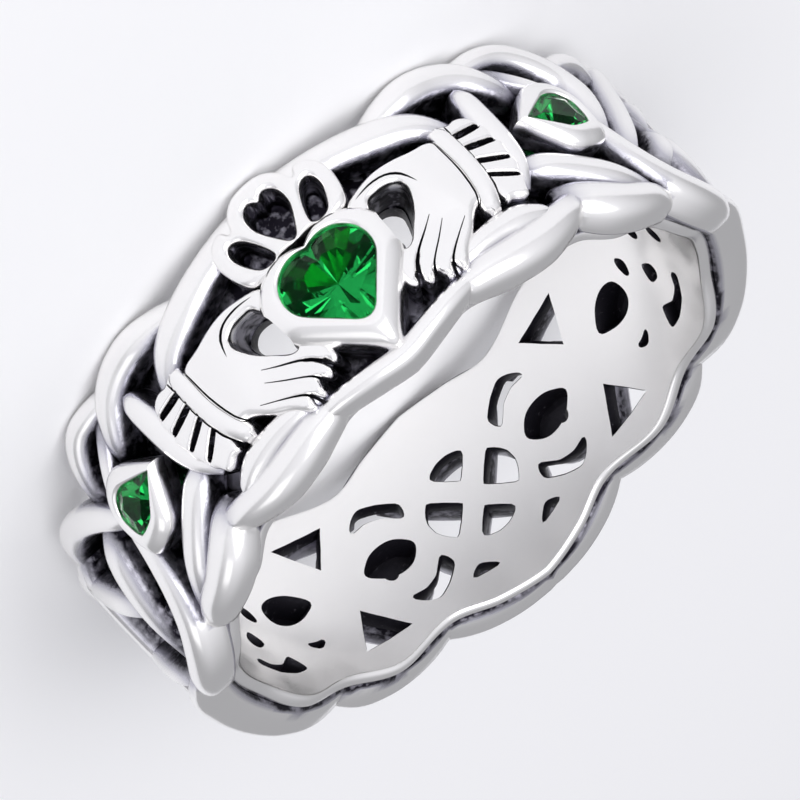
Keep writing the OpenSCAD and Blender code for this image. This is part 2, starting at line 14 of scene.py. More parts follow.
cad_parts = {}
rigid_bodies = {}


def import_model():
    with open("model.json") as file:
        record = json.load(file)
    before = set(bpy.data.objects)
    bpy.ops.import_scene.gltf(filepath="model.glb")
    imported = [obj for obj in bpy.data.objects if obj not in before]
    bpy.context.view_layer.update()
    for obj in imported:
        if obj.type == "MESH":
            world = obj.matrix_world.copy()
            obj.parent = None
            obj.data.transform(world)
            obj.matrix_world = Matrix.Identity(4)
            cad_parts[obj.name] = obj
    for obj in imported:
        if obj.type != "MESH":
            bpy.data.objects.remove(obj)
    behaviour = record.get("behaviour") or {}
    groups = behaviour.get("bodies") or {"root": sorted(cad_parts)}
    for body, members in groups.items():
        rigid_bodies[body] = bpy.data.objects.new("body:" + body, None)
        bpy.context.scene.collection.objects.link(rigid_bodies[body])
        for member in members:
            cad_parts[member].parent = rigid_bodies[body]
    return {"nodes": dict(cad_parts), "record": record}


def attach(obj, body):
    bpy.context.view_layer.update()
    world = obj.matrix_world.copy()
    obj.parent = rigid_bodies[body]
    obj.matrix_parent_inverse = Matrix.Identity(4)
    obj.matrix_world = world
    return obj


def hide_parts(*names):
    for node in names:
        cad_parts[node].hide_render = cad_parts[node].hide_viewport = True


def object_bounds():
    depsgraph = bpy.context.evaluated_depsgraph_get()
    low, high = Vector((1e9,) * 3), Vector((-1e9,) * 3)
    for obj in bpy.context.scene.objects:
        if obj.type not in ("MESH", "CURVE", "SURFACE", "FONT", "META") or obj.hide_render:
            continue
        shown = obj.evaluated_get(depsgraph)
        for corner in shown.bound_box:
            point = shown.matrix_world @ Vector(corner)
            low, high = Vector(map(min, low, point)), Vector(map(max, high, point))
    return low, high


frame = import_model()
cad_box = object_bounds()
MM = 0.001
print("nodes in the frame:", sorted(frame["nodes"]))

# %% [markdown]
# A ring is easiest to draw flat, like a strip of paper that is then closed round a finger. On the strip,
# X runs round the ring, Y along the finger and Z outwards. The heart lies at X = 0 with its tip to +Y.
# The bore's radius comes from the frame, so the strip always closes at the right size.

# %% Sizes of the band
finger_bore = next(m for m in frame["record"]["mounts"] if m["name"] == "finger_bore")
BORE_R = finger_bore["dims"]["r_mm"]
SLEEVE_R = BORE_R + 0.5
CREST_R = BORE_R + 1.7
MM_PER_DEGREE = math.radians(CREST_R)
# Strands are rooted just inside the sleeve's wall, and the smallest lift is that root seen from the crest
ROOT_LIFT = SLEEVE_R - 0.08 - CREST_R
BACK = 180
print("bore radius", BORE_R, "crest radius", CREST_R, "mm for a degree", round(MM_PER_DEGREE, 4))


def mix(a, b, t):
    return a + (b - a) * t


def spline(a, b, c, d, t):
    """A smooth curve through four numbers, at t between the second and the third."""
    bend = 2 * a - 5 * b + 4 * c - d
    twist = 3 * b - a - 3 * c + d
    return 0.5 * (2 * b + (c - a) * t + bend * t * t + twist * t ** 3)


def smooth_at(rows, t, closed=False):
    """The row at t, counted in rows from the first, on a smooth curve through them all."""
    count = len(rows)
    span = min(int(t), count - 1 if closed else count - 2)
    picks = [span - 1, span, span + 1, span + 2]
    near = [rows[i % count] if closed else rows[min(max(i, 0), count - 1)] for i in picks]
    return [spline(*values, t - span) for values in zip(*near)]


def smooth_outline(points, steps=4):
    """A closed outline with extra points on a smooth curve between the given ones."""
    return [smooth_at(points, i / steps, closed=True) for i in range(len(points) * steps)]


def wrap(bm):
    """Closes a flat strip round the finger."""
    for v in bm.verts:
        turn, height, lift = v.co
        angle = turn / CREST_R
        radius = CREST_R + lift
        v.co = (radius * math.sin(angle), -radius * math.cos(angle), height)


# %% [markdown]
# Silver that is cast, tumbled and polished throws back nearly all light. In the recesses the maker leaves
# the black sulphide of an oxidising bath, and only what the polishing wheel reaches is bright again.
# So there are two finishes on one casting: a bright one, and a black one for floors and pierced walls.

# %% Helpers for materials
def linear(code):
    """A colour written as sRGB hex, as the linear numbers that a shader works with."""
    parts = [int(code[i:i + 2], 16) / 255 for i in (1, 3, 5)]
    return [p / 12.92 if p <= 0.04045 else ((p + 0.055) / 1.055) ** 2.4 for p in parts] + [1.0]


def add(tree, kind, settings=None, **links):
    """Adds a node, sets its properties and sockets, and links its inputs. Spaces are written as _."""
    made = tree.nodes.new(kind)
    for name, value in (settings or {}).items():
        if isinstance(name, int) or name in made.inputs:
            made.inputs[name].default_value = value
        else:
            setattr(made, name, value)
    for name, socket in links.items():
        index = int(name[3:]) if name.startswith("in_") else name.replace("_", " ")
        tree.links.new(socket, made.inputs[index])
    return made


def new_material(name):
    material = bpy.data.materials.new(name)
    material.use_nodes = True
    material.node_tree.nodes.clear()
    return material, material.node_tree


# %% [markdown]
# The bright finish is polished sterling silver. It has wheel marks far too fine to count, which only
# soften the reflections, so they are a slight unevenness of roughness and a very small bump.
# Deep between the strands the wheel has not reached, and the black stays. The attribute "oxide", which is
# worked out on the finished casting, says how deep a point lies, and a noise makes its border uneven.

# %% Polished and oxidised silver
SILVER = "#faf9f8"
SULPHIDE = "#211f27"
RUBBED = "#a3a1ab"
# Painted shade: a grey mixed in low on the flanks of the strands, so that they darken from the crest towards
# their roots
FLANK_SHADE = "#c6c5ce"
# Sizes of the patterns, in mm: blotches of oxide, rubbed patches, marks of the wheel, grain of the floors
BLOTCH = 0.3
PATCH = 1.1
WHEEL_MARK = 0.08
FLOOR_GRAIN = 0.25
# Roughness between the wheel's marks and on them, and in the recesses that the wheel doesn't reach
POLISHED = (0.2, 0.23)
UNPOLISHED = 0.42


def silver_material():
    material, tree = new_material("polished_cast_silver")
    place = add(tree, "ShaderNodeTexCoord").outputs["Object"]
    depth = add(tree, "ShaderNodeAttribute", {"attribute_name": "oxide"}).outputs["Fac"]
    spots = add(tree, "ShaderNodeTexNoise", {"Scale": 1 / (BLOTCH * MM), "Detail": 5.0}, Vector=place)
    blotch = spots.outputs["Fac"]
    # The noise makes the oxide up to a quarter thicker or thinner
    uneven = add(tree, "ShaderNodeMapRange", {
        "From Min": 0.3, "From Max": 0.7, "To Min": -0.25, "To Max": 0.25}, Value=blotch)
    edge = add(tree, "ShaderNodeMath", {"operation": "MULTIPLY_ADD"}, in_0=uneven.outputs[0], in_1=depth,
               in_2=depth)
    share = add(tree, "ShaderNodeMapRange", {
        "From Min": 0.2, "From Max": 0.85, "interpolation_type": "SMOOTHSTEP"}, Value=edge.outputs[0])
    patch = add(tree, "ShaderNodeTexNoise", {"Scale": 1 / (PATCH * MM), "Detail": 2.0}, Vector=place)
    spread = add(tree, "ShaderNodeMath", {"operation": "MULTIPLY_ADD", 1: 0.9}, in_0=patch.outputs["Fac"],
                 in_2=blotch)
    rubbed = add(tree, "ShaderNodeMapRange", {"From Min": 0.9, "From Max": 1.14}, Value=spread.outputs[0])
    stain = add(tree, "ShaderNodeMix", {"data_type": "RGBA", 6: linear(SULPHIDE), 7: linear(RUBBED)},
                in_0=rubbed.outputs[0])
    # Painted shade: the smallest shares of the oxide attribute, just under the crests, mix the silver towards
    # the grey flank shade
    low = add(tree, "ShaderNodeMapRange", {"From Min": 0.0, "From Max": 0.3}, Value=depth)
    flank_shade = add(tree, "ShaderNodeMix", {"data_type": "RGBA", 6: linear(SILVER), 7: linear(FLANK_SHADE)},
               in_0=low.outputs[0])
    colour = add(tree, "ShaderNodeMix", {"data_type": "RGBA"}, in_0=share.outputs[0], in_6=flank_shade.outputs[2],
                 in_7=stain.outputs[2])
    marks = add(tree, "ShaderNodeTexNoise", {"Scale": 1 / (WHEEL_MARK * MM), "Detail": 3.0}, Vector=place)
    polish = add(tree, "ShaderNodeMapRange", {
        "From Min": 0.3, "From Max": 0.7, "To Min": POLISHED[0], "To Max": POLISHED[1]},
        Value=marks.outputs["Fac"])
    rough = add(tree, "ShaderNodeMix", {"data_type": "FLOAT", 3: UNPOLISHED}, in_0=share.outputs[0],
                in_2=polish.outputs[0])
    grain = add(tree, "ShaderNodeMath", {"operation": "MULTIPLY"}, in_0=blotch, in_1=share.outputs[0])
    bump = add(tree, "ShaderNodeBump", {"Strength": 0.6, "Distance": 0.05 * MM}, Height=grain.outputs[0])
    shader = add(tree, "ShaderNodeBsdfPrincipled", {"Metallic": 1.0}, Base_Color=colour.outputs[2],
                 Roughness=rough.outputs[0], Normal=bump.outputs[0])
    add(tree, "ShaderNodeOutputMaterial", Surface=shader.outputs[0])
    return material


def oxide_material():
    """Black silver sulphide on a floor that still has the casting's grain, with rubbed silver spots."""
    material, tree = new_material("oxidised_cast_silver")
    place = add(tree, "ShaderNodeTexCoord").outputs["Object"]
    grain = add(tree, "ShaderNodeTexNoise", {
        "Scale": 1 / (FLOOR_GRAIN * MM), "Detail": 6.0, "Roughness": 0.65}, Vector=place)
    rubbed = add(tree, "ShaderNodeMapRange", {"From Min": 0.62, "From Max": 0.85}, Value=grain.outputs["Fac"])
    colour = add(tree, "ShaderNodeMix", {"data_type": "RGBA", 6: linear(SULPHIDE), 7: linear(RUBBED)},
                 in_0=rubbed.outputs[0])
    bump = add(tree, "ShaderNodeBump", {"Strength": 0.5, "Distance": 0.04 * MM}, Height=grain.outputs["Fac"])
    shader = add(tree, "ShaderNodeBsdfPrincipled", {"Metallic": 0.6, "Roughness": 0.4},
                 Base_Color=colour.outputs[2], Normal=bump.outputs[0])
    add(tree, "ShaderNodeOutputMaterial", Surface=shader.outputs[0])
    return material


silver = silver_material()
oxide = oxide_material()
BRIGHT, BLACK = 0, 1
print("finishes:", silver.name, "and", oxide.name)

# %% [markdown]
# The casting is fused from many simple closed forms, as wax parts are joined to one wax before casting.
# Each form is kept in a collection, and a Boolean modifier with the Manifold solver fuses a whole
# collection at once. A cutter's faces keep their own material, so the wall of each opening turns black.

# %% Helpers for forms
parts_made = {}


def collection(name):
    if name not in parts_made:
        parts_made[name] = bpy.data.collections.new(name)
    return parts_made[name]


def to_object(bm, name, finishes, home=None):
    """Turns a finished bmesh to an object with its finishes, in a collection or else in the scene's own."""
    mesh = bpy.data.meshes.new(name)
    bm.to_mesh(mesh)
    bm.free()
    for finish in finishes:
        mesh.materials.append(finish)
    made = bpy.data.objects.new(name, mesh)
    (bpy.context.scene.collection if home is None else home).objects.link(made)
    return made


def keep(bm, name, group=None, finish=BRIGHT):
    """Turns the faces of a closed form outwards, gives them a silver, and puts it in a collection."""
    bm.normal_update()
    bmesh.ops.recalc_face_normals(bm, faces=bm.faces)
    if bm.calc_volume(signed=True) < 0:
        bmesh.ops.reverse_faces(bm, faces=bm.faces)
    bmesh.ops.triangulate(bm, faces=bm.faces)
    for face in bm.faces:
        face.material_index = finish
    return to_object(bm, name, (silver, oxide), collection(group) if group else None)


def regroup(made, old, new):
    """Moves an object from one collection to another."""
    old.objects.unlink(made)
    new.objects.link(made)


def keep_round(bm, name, group=None, finish=BRIGHT):
    """Closes a form that was drawn on the strip round the finger, and keeps it."""
    wrap(bm)
    return keep(bm, name, group, finish)


def applied(made):
    """Gives an object the mesh that its modifiers make, and drops them."""
    shown = made.evaluated_get(bpy.context.evaluated_depsgraph_get())
    mesh = bpy.data.meshes.new_from_object(shown)
    made.modifiers.clear()
    made.data = mesh


def fuse(base, group, operation="UNION"):
    """Adds a collection's forms to the base, or cuts them out of it."""
    step = base.modifiers.new(operation.lower(), "BOOLEAN")
    step.operand_type = "COLLECTION"
    step.collection = collection(group)
    step.operation = operation
    step.solver = "MANIFOLD"
    applied(base)
    print(operation.lower(), group, "gives", len(base.data.polygons), "faces")


# %% [markdown]
# A strand is a half-round wire laid on the band. A jeweller would take a straight wire, forge it broader
# and thinner along its length, and bend it along its course. The same is done here: a straight bar from
# create_cone gets rings from subdivide_edges, and every ring is moved to its place on the course.
# A table row is one station of the course: angle round the ring, height along the finger,
# crest above or below the common crest, and width.

# %% The strand maker
# Corners round a strand, and rings of corners from one row of its table to the next
SIDES = 18
STEPS = 5
# A round section has 2 here. More than 2 gives the flatter top and the steeper sides of a cast strand.
FULLNESS = 2.15
UNDERSIDE_FULLNESS = 4
# A strand's end is rounded off, but keeps this width in mm, so that it stays a closed form
LEAST_WIDTH = 0.02
# The direction of a course is taken this share of a span ahead and behind
LOOK = 0.01
# The two ends of a closed strand are joined over this distance, in mm
JOIN = 0.001


def bar(stations):
    """A straight round bar from Z = 0 to Z = 1, with a ring of corners at each station."""
    bm = bmesh.new()
    bmesh.ops.create_cone(bm, cap_ends=True, segments=SIDES, radius1=1, radius2=1, depth=1)
    bmesh.ops.translate(bm, verts=bm.verts, vec=(0, 0, 0.5))
    along = [e for e in bm.edges if abs(e.verts[0].co.z - e.verts[1].co.z) > 0.5]
    bmesh.ops.subdivide_edges(bm, edges=along, cuts=stations - 2, use_grid_fill=True)
    return bm


def full(x, fullness):
    """Pushes a round section out towards its corners."""
    return math.copysign(abs(x) ** (2 / fullness), x)


def lay(bm, rows, closed):
    """Bends and forges a bar along its course on the flat strip."""
    spans = len(rows) if closed else len(rows) - 1
    length = sum(math.hypot((b[0] - a[0]) * MM_PER_DEGREE, b[1] - a[1]) for a, b in zip(rows, rows[1:]))
    for v in bm.verts:
        t = min(max(v.co.z, 0), 1)
        square = FULLNESS if v.co.y > 0 else UNDERSIDE_FULLNESS
        angle, height, crest, width = smooth_at(rows, t * spans, closed)
        after, before = t * spans + LOOK, t * spans - LOOK
        ahead = smooth_at(rows, after % spans if closed else min(after, spans), closed)
        behind = smooth_at(rows, before % spans if closed else max(before, 0), closed)
        run = (ahead[0] - behind[0]) * MM_PER_DEGREE
        rise = ahead[1] - behind[1]
        travel = math.hypot(run, rise)
        from_end = 1 if closed else min(t, 1 - t) * length / (0.5 * width)
        taper = math.sqrt(1 - (1 - min(from_end, 1)) ** 2) if from_end < 1 else 1
        aside = full(v.co.x, square) * max(width * taper, LEAST_WIDTH) / 2
        top = min(width, crest - ROOT_LIFT) / 2
        up = full(v.co.y, square)
        lift = crest - top + top * up if up > 0 else mix(ROOT_LIFT, crest - top, 1 + up)
        v.co = (angle * MM_PER_DEGREE - aside * rise / travel, height + aside * run / travel, lift)


def strand(name, rows, closed=False, group="strands"):
    """A strand along a table's course. A closed one has its two ends joined, and so has no caps."""
    spans = len(rows) if closed else len(rows) - 1
    bm = bar(spans * STEPS + 1)
    lay(bm, rows, closed)
    if closed:
        caps = [f for f in bm.faces if len(f.verts) == SIDES]
        bmesh.ops.delete(bm, geom=caps, context="FACES_ONLY")
        bmesh.ops.remove_doubles(bm, verts=bm.verts, dist=JOIN)
    return keep_round(bm, name, group)


def placed(rows, middle, side, flip=1):
    """Rows that count from an angle, laid to one side of it, with their heights kept or turned over."""
    return [(middle + side * row[0], flip * row[1], *row[2:]) for row in rows]


def both_ways(rows):
    """Rows from the middle to one end, completed to the other end as a mirror image."""
    return [(-row[0], *row[1:]) for row in rows[:0:-1]] + rows


SIDE_NAMES = {-1: "left", 1: "right"}


# %% [markdown]
# Round the heart, the near rim is one shallow arch under the tip, and a broader strand frames the crown's
# side. The other strands come in pairs beside the hands and the side stones. Where two strands cross,
# one has the higher crest, so that it seems to pass over the other.

# %% Strands at the front
# These run on as a mirror image beyond their first row, which lies in the middle
CENTRE_STRANDS = {
    "heart_base": [(0, 3.18, 0, 0.7), (6, 3.02, 0, 0.66), (12, 2.78, -0.1, 0.62), (17, 2.6, -0.35, 0.5)],
    "frame": [
        (0, -3.0, -0.15, 0.85), (6, -2.95, -0.12, 0.9), (13, -2.72, -0.05, 1.05), (20, -2.42, 0, 1.15),
        (26.5, -2.05, -0.03, 1.05), (30.5, -1.5, -0.2, 0.85), (33, -0.9, -0.5, 0.6)],
}
PAIRED_STRANDS = {
    "shoulder": [
        (20, -2.75, -0.5, 0.6), (25, -2.95, -0.25, 0.9), (30, -3.07, 0, 1.05), (35, -3.07, 0, 1.1),
        (39.5, -2.85, 0, 1.05), (43, -2.45, -0.05, 0.95), (46, -2.0, -0.2, 0.8), (48.5, -1.6, -0.5, 0.6)],
    "link": [
        (42, -3.2, -0.6, 0.5), (46.5, -2.6, -0.3, 0.5), (50.5, -1.75, -0.05, 0.5), (53.6, -1.0, 0, 0.5),
        (55.5, -0.1, 0, 0.5), (57.6, 0.85, 0, 0.75), (60.5, 1.75, 0, 1), (64.5, 2.45, 0, 1.15),
        (70, 2.85, 0, 1.15), (76, 2.95, -0.05, 1), (83, 2.8, -0.3, 0.8)],
    "near_side": [
        (13.5, 2.62, -0.3, 0.8), (18, 2.72, -0.06, 1.05), (24, 2.82, 0, 1.2), (30, 2.78, 0, 1.2),
        (36, 2.52, -0.05, 1.05), (40.5, 2.2, -0.25, 0.8), (43, 2.05, -0.5, 0.6)],
    "near_leaf": [
        (13, 2.3, -0.25, 0.4), (18.5, 2.12, -0.02, 0.6), (24, 2.02, 0.05, 0.8), (29, 2.08, 0.05, 0.85),
        (33.5, 2.3, -0.1, 0.5)],
    "lower_bar": [
        (36.5, 0.6, -0.3, 0.6), (39.5, 0.88, -0.03, 0.95), (45, 1.42, 0.02, 0.98), (51, 2.02, -0.02, 0.95),
        (57, 2.5, -0.3, 0.8), (61, 2.7, -0.6, 0.6)],
    "near_shoulder": [
        (37, 1.75, -0.45, 0.8), (40.5, 2.15, -0.12, 1.2), (45, 2.62, 0, 1.35), (50, 2.88, 0, 1.2),
        (55.5, 2.9, -0.08, 1.05), (61, 2.85, -0.4, 0.8)],
    "sickle_leaf": [
        (37.6, -2.42, -0.25, 0.45), (37.4, -1.95, 0, 0.75), (37.1, -1.15, 0.05, 0.95),
        (36.9, -0.35, 0.05, 0.9), (36.3, 0.4, 0, 0.72), (35, 1.0, -0.1, 0.45), (33.6, 1.4, -0.25, 0.3)],
}
RIGHT_STRANDS = {
    "outer": [
        (41, -3.1, -0.4, 0.6), (46, -3.18, -0.1, 0.75), (50, -3.18, 0, 0.8), (54, -2.9, -0.05, 0.85),
        (57.5, -2.35, -0.2, 0.8), (60.5, -1.7, -0.45, 0.7), (64, -0.9, -0.45, 0.7)],
    "rising": [
        (54.5, -0.5, -0.2, 0.5), (57.5, -1.0, -0.02, 0.75), (61, -1.6, 0.05, 0.9), (65, -2.1, 0.05, 0.95),
        (69, -2.45, 0.02, 0.95), (74, -2.7, 0, 0.95), (79, -2.75, -0.1, 0.9), (84, -2.6, -0.3, 0.8)],
    "broad": [
        (63, -1.5, -0.4, 0.7), (66, -0.8, -0.05, 1), (69.5, 0.1, 0, 1.15), (72.5, 1.05, -0.1, 1.1),
        (75.5, 2.0, -0.35, 1), (79, 2.7, -0.6, 0.8)],
    "cross": [
        (68, 1.6, -0.6, 0.7), (73, 0.6, -0.3, 0.85), (78, -0.4, 0, 0.95), (83, -1.3, 0, 0.95),
        (88, -2.1, -0.1, 0.9), (93, -2.7, -0.4, 0.8)],
}
LEFT_STRANDS = {
    "outer": [
        (41, -3.1, -0.4, 0.6), (46, -3.16, -0.1, 0.7), (51, -3.05, 0.02, 0.75), (56, -2.6, 0.05, 0.9),
        (60, -1.9, 0.05, 1.05), (61.4, -1.0, 0.05, 1.05), (59.8, -0.1, -0.1, 0.9), (57, 0.7, -0.4, 0.7)],
    "rising": [
        (57, 1.9, -0.6, 0.7), (61, 1.15, -0.25, 0.8), (65, 0.35, -0.05, 0.9), (69.5, -0.6, 0, 0.95),
        (74, -1.6, 0, 0.95), (79, -2.4, 0, 0.95), (84, -2.75, -0.3, 0.8)],
    "broad": [
        (62, -2.3, -0.45, 0.7), (66.5, -2.6, -0.1, 0.85), (71.5, -2.5, -0.05, 0.9), (76, -1.6, -0.35, 0.9),
        (79, -0.6, -0.3, 1), (81.5, 0.6, 0, 1.1), (84, 1.7, -0.1, 1), (88, 2.6, -0.4, 0.8)],
    "cross": [
        (64, 2.2, -0.6, 0.7), (69, 1.5, -0.3, 0.8), (75, 0.7, 0, 0.9), (80, -0.2, -0.3, 0.9),
        (86, -1.4, 0, 0.95), (93, -2.6, -0.4, 0.8)],
}
for name, rows in CENTRE_STRANDS.items():
    strand(name, both_ways(rows))
for name, rows in PAIRED_STRANDS.items():
    for side in SIDE_NAMES:
        strand(f"{name}_{SIDE_NAMES[side]}", placed(rows, 0, side))
for name, rows in RIGHT_STRANDS.items():
    strand(f"{name}_right", rows)
for name, rows in LEFT_STRANDS.items():
    strand(f"{name}_left", placed(rows, 0, -1))
print("front strands:", len(collection("strands").objects))

# %% [markdown]
# The knot at the back is laid out from its middle, BACK, and is alike on both sides. Its rims are lobes
# that run into each other, and circles and loops lie between them round the openings.

# %% Strands at the back
CIRCLE_TURNS = [math.tau * (i + 0.5) / 12 for i in range(12)]
CIRCLE = [(11.6 * math.cos(a), -1.78 * math.sin(a), 0, 0.6) for a in CIRCLE_TURNS]
SMALL_TURNS = [math.tau * i / 10 for i in range(10)]
SMALL_CIRCLE = [(64 + 8.4 * math.cos(a), -0.1 - 1.32 * math.sin(a), -0.02, 0.5) for a in SMALL_TURNS]
MIDDLE_LOBE = [(-1, 3.02, 0, 0.72), (6, 2.96, 0, 0.72), (12, 2.75, 0, 0.75), (17, 2.45, -0.05, 0.75),
               (23, 2.1, -0.4, 0.6)]
FAR_LOBE_STRETCH = 1.07
BACK_BOTH_RIMS = {
    "second_lobe": [
        (18, 2.2, -0.4, 0.6), (24, 2.42, -0.05, 0.75), (30, 2.62, 0, 0.75), (36, 2.68, 0, 0.75),
        (42, 2.58, -0.05, 0.75), (49, 2.3, -0.4, 0.6)],
    "third_lobe": [
        (45, 2.3, -0.45, 0.6), (53, 2.58, 0, 0.75), (62, 2.7, 0, 0.75), (71, 2.6, 0, 0.75),
        (82, 2.45, 0, 0.75), (92, 2.45, 0, 0.75), (101, 2.45, -0.45, 0.6)],
    "crossing": [
        (20, -2.4, -0.4, 0.6), (25.5, -1.75, -0.05, 0.75), (30, -0.9, 0, 0.78), (34, -0.05, 0, 0.78),
        (38, 0.8, 0, 0.78), (42.5, 1.7, -0.05, 0.75), (48, 2.4, -0.4, 0.6)],
}
BACK_LOOPS = {
    "eye_loop": [
        (28.8, 0, -0.1, 0.5), (25.3, -0.78, 0, 0.5), (21, -1.02, 0, 0.55), (17, -0.85, 0, 0.55),
        (14.2, 0, -0.1, 0.55), (17, 0.85, 0, 0.55), (21, 1.02, 0, 0.55), (25.3, 0.78, 0, 0.5)],
    "second_eye_loop": [
        (40.4, -0.1, -0.1, 0.5), (44.8, 0.68, 0, 0.5), (51, 0.72, 0, 0.5), (55.2, -0.15, -0.1, 0.5),
        (51, -1.02, 0, 0.5), (44.8, -0.94, 0, 0.5)],
    "small_circle": SMALL_CIRCLE,
}
BACK_SINGLE = {
    "diagonal": [
        (14, -2.2, -0.4, 0.6), (9, -1.45, -0.1, 0.7), (4, -0.62, -0.02, 0.7), (0, 0, 0, 0.7),
        (-4, 0.62, -0.02, 0.7), (-9, 1.45, -0.1, 0.7), (-14, 2.2, -0.4, 0.6)],
    "eye_floor": [(14, 0, -0.4, 1.3), (21, 0, -0.4, 1.5), (28, 0, -0.4, 1.1)],
    "second_eye_floor": [(41, -0.15, -0.4, 1.1), (48, -0.15, -0.4, 1.5), (55, -0.15, -0.4, 1.2)],
    "flank_falling": [
        (68, -2.4, -0.4, 0.6), (74, -1.8, -0.05, 0.75), (80, -0.7, 0, 0.8), (86, 0.5, 0, 0.8),
        (92, 1.6, -0.05, 0.8), (98, 2.4, -0.4, 0.6)],
    "flank_rising": [
        (74, 2.4, -0.4, 0.6), (79, 1.6, -0.05, 0.75), (84, 0.3, -0.02, 0.8), (88.5, -0.9, -0.02, 0.8),
        (94, -2, -0.05, 0.8), (100, -2.6, -0.4, 0.6)],
}
strand("back_circle", placed(CIRCLE, BACK, 1), closed=True)
for side, side_name in SIDE_NAMES.items():
    for flip, rim in ((-1, "far"), (1, "near")):
        stretch = FAR_LOBE_STRETCH if flip < 0 else 1
        strand(f"middle_lobe_{side_name}_{rim}", placed(MIDDLE_LOBE, BACK, side, flip * stretch))
        for name, rows in BACK_BOTH_RIMS.items():
            strand(f"{name}_{side_name}_{rim}", placed(rows, BACK, side, flip))
    for name, rows in BACK_LOOPS.items():
        strand(f"{name}_{side_name}", placed(rows, BACK, side), closed=True)
    for name, rows in BACK_SINGLE.items():
        strand(f"{name}_{side_name}", placed(rows, BACK, side))
print("all strands:", len(collection("strands").objects))

# %% [markdown]
# The smooth inner sleeve is what the finger feels. Its profile is a thin upright strip with rounded ends,
# and a full spin round the finger makes a tube of it. Then each ring of points is moved to the rim's height
# at its angle, because the rims rise and fall with the strands.

# %% Sleeve
# Rims of the sleeve: angle from the heart, near rim, far rim, alike on both sides
SLEEVE_RIMS = [
    (0, 3.3, -3.1), (13.6, 2.85, -2.9), (24.4, 3.15, -2.95), (34.3, 2.9, -3.2), (41.6, 2.8, -3.15),
    (49.3, 3.1, -3.2), (61.7, 2.9, -2.7), (73.4, 3.1, -2.9), (87.3, 2.75, -2.7), (103.2, 2.7, -2.75),
    (117.3, 3.1, -3.1), (131.6, 2.8, -2.85), (144.6, 3.1, -3.1), (159.7, 2.65, -2.73), (169.6, 3.1, -3.15),
    (180, 3.4, -3.42)]
# Half of the profile: radius, distance from the rim
SLEEVE_PROFILE = [
    (BORE_R, 0.14), (BORE_R + 0.02, 0.07), (BORE_R + 0.07, 0.02), (BORE_R + 0.14, 0), (BORE_R + 0.28, 0),
    (BORE_R + 0.38, 0.03), (BORE_R + 0.46, 0.1), (SLEEVE_R, 0.22)]
SLEEVE_STEPS = 288
DRAWN_RIM = 4


def rims_at(angle):
    """Near and far rim of the sleeve at an angle from the heart."""
    angle = abs((angle + 180) % 360 - 180)
    span = next(i for i, row in enumerate(SLEEVE_RIMS[1:]) if angle <= row[0])
    start, end = SLEEVE_RIMS[span][0], SLEEVE_RIMS[span + 1][0]
    return smooth_at(SLEEVE_RIMS, span + (angle - start) / (end - start))[1:]


def angle_of(co):
    return math.degrees(math.atan2(co.x, -co.y))


bm = bmesh.new()
upper = [bm.verts.new((0, -radius, DRAWN_RIM - inset)) for radius, inset in SLEEVE_PROFILE]
lower = [bm.verts.new((0, -radius, inset - DRAWN_RIM)) for radius, inset in reversed(SLEEVE_PROFILE)]
profile = upper + lower
for a, b in zip(profile, profile[1:] + profile[:1]):
    bm.edges.new((a, b))
bmesh.ops.spin(bm, geom=bm.edges[:], axis=(0, 0, 1), cent=(0, 0, 0), angle=math.tau, steps=SLEEVE_STEPS,
               use_merge=True)
for v in bm.verts:
    near, far = rims_at(angle_of(v.co))
    inset = DRAWN_RIM - abs(v.co.z)
    v.co.z = near - inset if v.co.z > 0 else far + inset
sleeve = keep(bm, "sleeve")
print("sleeve faces:", len(sleeve.data.polygons))

# %% [markdown]
# Many forms here are an outline that rises: the settings, the crown, the palms, and the tools that cut the
# openings. A circle from create_circle has its corners moved to the outline, and is then extruded level by
# level. Each level may be the outline again, grown, shrunk or changed to another one.

# %% The outline maker
def grown(outline, by):
    """An outline moved outwards by a distance, or inwards where it is negative."""
    count = len(outline)
    steps = zip(outline[-1:] + outline[:-1], outline)
    turning = sum(x0 * y1 - x1 * y0 for (x0, y0), (x1, y1) in steps)
    sign = by * math.copysign(1, turning)
    made = []
    for i, (x, y) in enumerate(outline):
        (x0, y0), (x1, y1) = outline[i - 1], outline[(i + 1) % count]
        size = math.hypot(x1 - x0, y1 - y0) or 1
        made.append((x + sign * (y1 - y0) / size, y - sign * (x1 - x0) / size))
    return made


def raise_outline(levels, closed_round=False):
    """A form from levels of (outline in mm, lift). Closed round, the last level joins the first."""
    bm = bmesh.new()
    first, lift = levels[0]
    bmesh.ops.create_circle(bm, cap_ends=not closed_round, segments=len(first), radius=1)
    ring = list(bm.verts)
    edges = list(bm.edges)
    start = edges
    for corner, (x, y) in zip(ring, first):
        corner.co = (x, y, lift)
    for outline, lift in levels[1:]:
        made = bmesh.ops.extrude_edge_only(bm, edges=edges)["geom"]
        edges = [e for e in made if isinstance(e, bmesh.types.BMEdge) and e.is_boundary]
        moved = {v for e in edges for v in e.verts}
        beside = [[e.other_vert(corner) for e in corner.link_edges] for corner in ring]
        ring = [next(v for v in found if v in moved) for found in beside]
        for corner, (x, y) in zip(ring, outline):
            corner.co = (x, y, lift)
    if closed_round:
        bmesh.ops.bridge_loops(bm, edges=start + edges)
    else:
        bmesh.ops.contextual_create(bm, geom=edges)
    return bm


def in_mm(outline, middle=0, side=1, flip=1):
    """Angles and heights as millimetres on the strip."""
    return [((middle + side * x) * MM_PER_DEGREE, flip * y) for x, y in outline]


def on_strip(outline, middle=0, side=1, steps=4):
    """A smooth outline on the strip through corners given as angles and heights."""
    return smooth_outline(in_mm(outline, middle, side), steps)


# %% [markdown]
# The heart's setting and the two pear-shaped ones are walls with a broad rounded rim round a well, on
# which the stone rests. Their outlines are worked out from a few sizes: two lobes and a tip for the heart,
# and a round end and a point for the pears.

# %% Settings for the stones
# Steps of a straight flank, from a lobe or round end to the tip
FLANK_STEPS = 6


